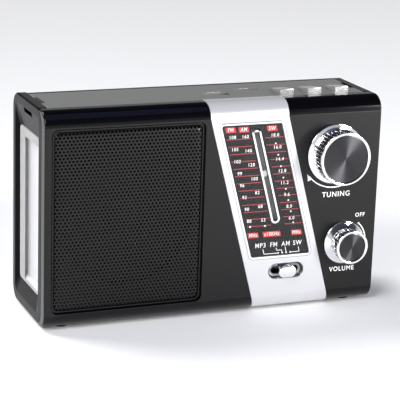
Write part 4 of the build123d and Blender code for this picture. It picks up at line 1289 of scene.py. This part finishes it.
@dataclass
class FrontPrinting:
    """White printing beside the knobs."""

    line: float = 0.62
    arc_steps: int = 40

    def arc(self, centre: Point, radius: float, start: float, end: float) -> Mesh:
        """A printed arc round a knob.

        Args:
            centre: (x, height) of the knob.
            radius: Of the arc's middle.
            start: Degrees from the right, counterclockwise.
            end: The same, of its other end.

        Returns:
            Its mesh.
        """
        inner, outer = radius - self.line / 2, radius + self.line / 2
        section = ((outer, INK[0]), (inner, INK[0]), (inner, INK[1]), (outer, INK[1]))
        loops = []
        for k in range(self.arc_steps + 1):
            turn = start + (end - start) * k / self.arc_steps
            points = [(on_circle(centre, r, turn), depth) for r, depth in section]
            loops.append([at(x, depth, z) for (x, z), depth in points])
        bm = bmesh.new()
        loft(bm, loops)
        return mesh_of(bm, "arc")

    def arrow(self, tip: Point, turn: float, size: float) -> Mesh:
        """A small arrowhead.

        Args:
            tip: Its (x, height) point.
            turn: Degrees that it points, from the right.
            size: Its length.

        Returns:
            Its mesh.
        """
        along, side = Vector(on_circle((0, 0), 1, turn)), Vector(on_circle((0, 0), 0.26, turn + 90))
        point = Vector(tip)
        bm = bmesh.new()
        outline_plate(bm, [point, point + (side - along) * size, point - (side + along) * size], *INK)
        return mesh_of(bm, "arrow")

    def dot(self, place: Point, radius: float) -> Mesh:
        """A printed dot."""
        bm = bmesh.new()
        outline_plate(bm, circle(place, radius, 16), *INK)
        return mesh_of(bm, "dot")

    def build(self) -> None:
        """Makes the lettering, arcs and marks."""
        tuning, volume = spot("tuning_knob"), spot("volume_knob")
        off_turn, volume_r, arrow = 48, 13.0, 3.9
        meshes = [
            lettering("TUNING", (67.7, 60.3), 2.8, Weight.BOLD, 0.96),
            lettering("VOLUME", (73.4, 18.6), 2.5, Weight.BOLD, 0.95),
            lettering("OFF", (82.6, 47.9), 2.2, Weight.BOLD, 0.95),
            self.arc(tuning, 18.3, 219, 321),
            self.arrow((tuning[0] - 15.4, tuning[1] - 10.2), 112, arrow),
            self.arrow((tuning[0] + 15.4, tuning[1] - 10.2), 68, arrow),
            self.arc(volume, volume_r, -50, off_turn),
            self.dot(on_circle(volume, volume_r, off_turn), 0.55),
        ]
        new_piece("front_printing", join_meshes("front_printing", meshes), WHITE_INK, "case", "pointer_light")


# ------------------------------------------------------------------ keys and slider


class Mark(Enum):
    """The generic transport mark printed on a key."""

    PREVIOUS = -1
    PLAY = 0
    NEXT = 1


@dataclass
class PushKey:
    """Chrome wedge key: flat sloping top, upright front, and a fine bright edge all round."""

    node: str
    body: str
    mark: Mark
    width: float = 8.0
    front: float = 16.6
    back: float = 29.0
    rise: Point = (2.6, 0.95)
    edge: float = 0.3
    half_mark: float = 0.75

    def slope_z(self, depth: float) -> float:
        """Height of the key's top above the underside at a depth, in millimetres."""
        share = (depth - self.front) / (self.back - self.front)
        return PLATE_TOP + self.rise[0] + (self.rise[1] - self.rise[0]) * share

    def wedge(self, x: float) -> Mesh:
        """The plated key itself, about its middle's x in millimetres."""
        foot = PLATE_TOP - 3.0
        ends = (self.front, self.back)
        outline = [(self.front, foot), *((y, self.slope_z(y)) for y in ends), (self.back, foot)]
        bm = bmesh.new()
        loft(bm, [[at(side, y, z) for y, z in outline] for side in (x - self.width / 2, x + self.width / 2)])
        bmesh.ops.recalc_face_normals(bm, faces=bm.faces)
        limit = FLOOR + (PLATE_TOP + 0.5) * MM
        rim = [edge for edge in bm.edges if any(vertex.co.z > limit for vertex in edge.verts)]
        size = self.edge * MM
        bmesh.ops.bevel(bm, geom=rim, offset=size, segments=2, profile=0.6, affect="EDGES", clamp_overlap=True)
        return mesh_of(bm, self.node + "_plated")

    def bar(self, left: float, right: float) -> list[Point]:
        """An upright bar of the mark."""
        return corners(left, right, -self.half_mark, self.half_mark)

    def triangle(self, tail: float, tip: float) -> list[Point]:
        """A triangle of the mark."""
        return [(tail, -self.half_mark), (tip, 0.0), (tail, self.half_mark)]

    def symbol(self, x: float) -> Mesh:
        """The transport mark, lying on the sloping top of the key with its middle at x."""
        way = self.mark.value
        if self.mark is Mark.PLAY:
            shapes = [self.triangle(-1.3, 0.1), self.bar(0.5, 0.8), self.bar(1.1, 1.4)]
        else:
            shapes = [self.triangle(-1.2 * way, 0.0), self.triangle(0.0, 1.2 * way)]
            shapes.append(self.bar(*sorted((1.25 * way, 1.5 * way))))
        bm = bmesh.new()
        centre = self.front + 3.2
        for shape in shapes:
            points = [(x + u, centre - v) for u, v in shape]
            loft(bm, [[at(px, py, self.slope_z(py) + lift) for px, py in points] for lift in (0.02, -0.1)])
        return mesh_of(bm, self.node + "_mark")

    def build(self) -> None:
        """Makes the key, which stands for its CAD node, and its mark."""
        x = spot(self.node)[0]
        piece = new_piece(self.node + "_plated", self.wedge(x), KEYTOP, self.body, "bright_trim", 15)
        new_piece(self.node + "_mark", self.symbol(x), BLACK_INK, self.body, "knob_black")
        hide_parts(self.node)


@dataclass
class BandSlider:
    """Chrome slider with a broad crowned face, and the plated well that it moves in."""

    node: str = "band_slider"
    body: str = "band_slide"
    bezel: str = "switch_bezel"
    length: float = 9.9
    width: float = 6.3
    slot: Point = (20.3, 8.5)

    def knob(self) -> Mesh:
        """The slider's plated knob with its grip ridge."""
        face = (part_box(self.node)[0][1] - FRONT) / MM
        x, z = spot(self.node)
        steps = [(0.9, 0.9), (0.9, -0.6), (0.45, face + 1.3), (0.15, face + 0.8)]
        steps += [(0.0, face + 0.5), (0.3, face + 0.22), (0.9, face + 0.08), (2.0, face + 0.04)]
        loops = []
        for inset, depth in steps:
            a, b = (self.length - inset) / 2, (self.width - inset * 0.8) / 2
            outline = rounded(corners(x - a, x + a, z - b, z + b), 2.9 - inset * 0.45)
            loops.append([at(px, depth, pz) for px, pz in outline])
        bm = bmesh.new()
        loft(bm, loops)
        foot, crest = corners(-0.5, 0.5, -2.1, 2.1), corners(-0.12, 0.12, -1.9, 1.9)
        ridge = ((foot, 0.3), (foot, 0.04), (crest, 0.005))
        loft(bm, [[at(x + u, face + back, z + v) for u, v in outline] for outline, back in ridge])
        return mesh_of(bm, "band_slider_plated")

    def well(self) -> Mesh:
        """The bezel: a thin lip, walls that fall in to the opening, and a stepped floor."""
        lip = [(0.0, 1.2), (0.0, -0.35), (0.12, -0.55), (0.3, -0.62), (0.45, -0.55)]
        walls = [(1.5, 0.9), (2.2, 1.5), (4.6, 1.7), (4.6, 2.6), (0.4, 2.6)]
        centre, (length, width) = spot(self.bezel), self.slot
        bm = bmesh.new()
        loops = [
            [at(x, depth, z) for x, z in stadium(centre, length - inset, width - inset, 0)]
            for inset, depth in lip + walls
        ]
        loft(bm, loops, Ends.JOINED)
        return mesh_of(bm, "switch_well")

    def build(self) -> None:
        """Makes the slider and its well, which stand for their CAD nodes."""
        piece = new_piece("band_slider_plated", self.knob(), CHROME, self.body, "bright_trim", 35)
        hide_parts(self.node)
        # The well's darkened plating is painted shade.
        well = new_piece("switch_well", self.well(), WELL_PAINTED_SHADE, "case", "bright_trim", 40)
        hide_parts(self.bezel)


# ------------------------------------------------------------------ lamp and top marks


@dataclass
class LampPaintedShade:
    """Painted shade: a raised frame of darker opal along the rear and the top of the lamp's cover, standing in
    for the shade there.
    """

    node: str = "lamp_diffuser"
    inset: float = 3.3
    rear: float = 7.6
    top: float = 4.6
    thin: float = 1.1
    proud: float = 0.45

    def build(self) -> None:
        """Makes the painted-shade frame on the cover's outer face."""
        low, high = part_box(self.node)
        face, inset, thin = low[0] / MM, self.inset, self.thin
        y0, y1 = (low[1] - FRONT) / MM + inset, (high[1] - FRONT) / MM - inset
        z0, z1 = (low[2] - FLOOR) / MM + inset, (high[2] - FLOOR) / MM - inset
        outer = rounded(corners(y0, y1, z0, z1), 2.2)
        inner = rounded(corners(y0 + thin, y1 - self.rear, z0 + thin, z1 - self.top), 1.2)
        back, front = 0.1, -self.proud
        steps = ((outer, back), (outer, front + 0.1), (outer, front), (inner, -0.06), (inner, back))
        bm = bmesh.new()
        loft(bm, [[at(face + dx, y, z) for y, z in outline] for outline, dx in steps], Ends.JOINED)
        # The frame's darker opal is painted shade.
        new_piece("lamp_border", mesh_of(bm, "lamp_border"), OPAL_PAINTED_SHADE, "case", "lamp_white")


@dataclass
class TopMarks:
    """Small printed marks beside the two sockets on the top plate."""

    half: float = 0.35
    bars: tuple[Point3, ...] = (
        (4.6, 28.9, 1.6),
        (7.4, 28.9, 2.4),
        (10.4, 28.9, 1.6),
        (25.2, 34.3, 1.8),
        (28.2, 34.3, 2.4),
    )
    """x, depth and length of each."""

    def build(self) -> None:
        """Makes the marks, each a short bar."""
        bm = bmesh.new()
        for x, y, length in self.bars:
            points = corners(x - length / 2, x + length / 2, y - self.half, y + self.half)
            loft(bm, [[at(px, py, PLATE_TOP + lift) for px, py in points] for lift in (0.03, -0.05)])
        new_piece("top_marks", mesh_of(bm, "top_marks"), WHITE_INK, "case", "pointer_light")


# ------------------------------------------------------------------ coils


@dataclass
class RodCoils:
    """Coils of enamelled wire on the ferrite rod, turn by turn."""

    wire: float = 0.45
    node: str = "rod_coils"
    spans: tuple[Point, ...] = ((-62.0, -40.0), (-6.0, 8.0))
    sides: int = 28

    def turn(self, radius: float) -> Object:
        """One turn of wire about the X axis."""
        section = [(radius + x, z) for x, z in circle((0, 0), self.wire / 2, 5)]
        loops = []
        for i in range(self.sides):
            angle = 360 * i / self.sides
            loops.append([Vector((across, *on_circle((0, 0), r, angle))) * MM for r, across in section])
        bm = bmesh.new()
        loft(bm, loops, Ends.JOINED)
        return template("turn", bm)

    def build(self) -> None:
        """Repeats the turn along each coil; the turns stand for the CAD sleeves."""
        low, high = (Vector(corner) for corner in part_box(self.node))
        centre = (low + high) / 2
        radius = (high.z - low.z) / 2 / MM - self.wire / 2
        meshes = []
        for start, end in self.spans:
            sizes = {
                "Turn": self.turn(radius),
                "Material": COPPER.make(),
                "Turns": int((end - start) / self.wire),
                "Pitch": self.wire * MM,
            }
            tree = Tree("coil", sizes)
            points, index = tree.points(tree.size("Turns"))
            placed = tree.shifted(points, "Position", X=tree.calc("MULTIPLY", index, tree.size("Pitch")))
            mesh = tree.bake(tree.instance(placed, "Turn"), "coil")
            mesh.transform(Matrix.Translation(((start + self.wire / 2) * MM, centre.y, centre.z)))
            meshes.append(mesh)
        mesh = join_meshes("rod_coil_turns", meshes)
        piece = new_piece("rod_coil_turns", mesh, COPPER, "case", "copper_wire", 60)
        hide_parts(self.node)


# ------------------------------------------------------------------ studio


@dataclass
class Studio:
    """Pale floor, soft lights and the camera."""

    lens: float = 149.364
    camera_place: Point3 = (-0.314968, -0.780788, 0.290525)
    right: Point3 = (0.93029098, -0.36550208, 0.03109521)
    up: Point3 = (0.0697507, 0.25947918, 0.96322655)
    back: Point3 = (-0.36012987, -0.89391207, 0.26688517)
    heart: Point3 = (0, 0, 0.055)

    def camera(self) -> None:
        """Stands the camera at the listener's eye, a little to the left."""
        data = bpy.data.cameras.new("camera")
        data.lens, data.sensor_width = self.lens, 36.0
        data.clip_start, data.clip_end = 0.01, 50.0
        obj = show("camera", data)
        turn = Matrix((self.right, self.up, self.back)).transposed()
        obj.matrix_world = Matrix.Translation(Vector(self.camera_place)) @ turn.to_4x4()
        bpy.context.scene.camera = obj

    def floor(self) -> None:
        """A wide pale floor."""
        bm = bmesh.new()
        bmesh.ops.create_circle(bm, cap_ends=True, radius=6.0, segments=96)
        mesh = bpy.data.meshes.new("floor")
        bm.to_mesh(mesh)
        bm.free()
        obj = show("floor", mesh)
        dress(obj, Moulded("floor_pale", "#fbfbfb", 0.8, grain=2.0, depth=0.01))
        obj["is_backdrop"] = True

    def light(self, name: str, kind: str, place: Point3, power: float, aim: Point3) -> bpy.types.Light:
        """A light that faces a point.

        Args:
            name: Its name.
            kind: Its Blender type.
            place: Where it stands.
            power: Its power in watts, or a sun's in watts for each square metre.
            aim: What it faces.

        Returns:
            Its settings.
        """
        data = bpy.data.lights.new(name, kind)
        data.energy = power
        obj = show(name, data)
        obj.location = place
        obj.rotation_euler = (Vector(aim) - Vector(place)).to_track_quat("-Z", "Y").to_euler()
        return data

    def area(self, name: str, place: Point3, size: Point, power: float, colour: str = "#ffffff") -> None:
        """A soft rectangular light, of a width and height, that faces the receiver."""
        data = self.light(name, "AREA", place, power, self.heart)
        data.shape = "RECTANGLE"
        data.size, data.size_y = size
        data.color = linear(colour)[:3]

    def skylight(self, place: Point3, spread: float, strength: float) -> None:
        """A broad far light that covers the whole floor evenly, and looks spread degrees wide."""
        self.light("skylight", "SUN", place, strength, (0, 0, 0)).angle = math.radians(spread)

    def world(self) -> None:
        """A plain pale backdrop; as a light it is pale at the horizon and dark overhead."""
        world = bpy.data.worlds.new("studio")
        bpy.context.scene.world = world
        world.use_nodes = True
        nodes = Nodes(world.node_tree)
        nodes.tree.nodes.clear()
        direction = nodes.add("ShaderNodeTexCoord").outputs["Generated"]
        height = nodes.add("ShaderNodeSeparateXYZ", {0: direction}).outputs["Z"]
        stops = ((0.0, "#e6e6e7"), (0.17, "#cacacc"), (0.27, "#4a4c52"), (1.0, "#1b1c22"))
        sky = nodes.ramp(height, [(place, linear(colour)) for place, colour in stops])
        lit = nodes.add("ShaderNodeBackground", {"Color": sky, "Strength": 1.0}).outputs[0]
        seen = nodes.add("ShaderNodeBackground", {"Color": linear("#f1f1f2"), "Strength": 1.0}).outputs[0]
        direct = nodes.add("ShaderNodeLightPath").outputs["Is Camera Ray"]
        both = nodes.add("ShaderNodeMixShader", {0: direct, 1: lit, 2: seen}).outputs[0]
        nodes.add("ShaderNodeOutputWorld", {"Surface": both})

    def build(self) -> None:
        """Sets up the whole studio."""
        bpy.context.scene.view_settings.view_transform = "Standard"
        self.camera()
        self.floor()
        self.world()
        self.area("key", (-1.0, -0.8, 1.0), (0.7, 0.7), 18)
        self.area("strip", (0.96, -1.25, 0.42), (0.2, 0.8), 24)
        self.skylight((-1.0, 1.3, 1.9), 32.0, 2.4)
        self.area("overhead", (0.0, -0.3, 1.2), (0.9, 0.9), 1.2, "#a9b6ff")


def main() -> None:
    """Builds the receiver and its studio, in order."""
    logging.basicConfig(level=logging.INFO, format="%(name)s %(message)s")
    Studio().build()
    dress_nodes()
    SpeakerGrille().build()
    Knob("tuning_knob", "tuning", 16.0, 13.75, 14.2, 12.4, 42, 0.5).build()
    Knob("volume_knob", "volume", 11.6, 8.45, 9.1, 7.3, 27, 1.5).build()
    Dial().build()
    FrontPrinting().build()
    for node, body, mark in (
        ("key_previous", "previous_key", Mark.PREVIOUS),
        ("key_play", "play_key", Mark.PLAY),
        ("key_next", "next_key", Mark.NEXT),
    ):
        PushKey(node, body, mark).build()
    BandSlider().build()
    LampPaintedShade().build()
    TopMarks().build()
    RodCoils().build()
    boxes = {"cad": CAD_BOX, "visual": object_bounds()}
    {name: [list(corner) for corner in box] for name, box in boxes.items()}


if __name__ == "__main__":
    main()
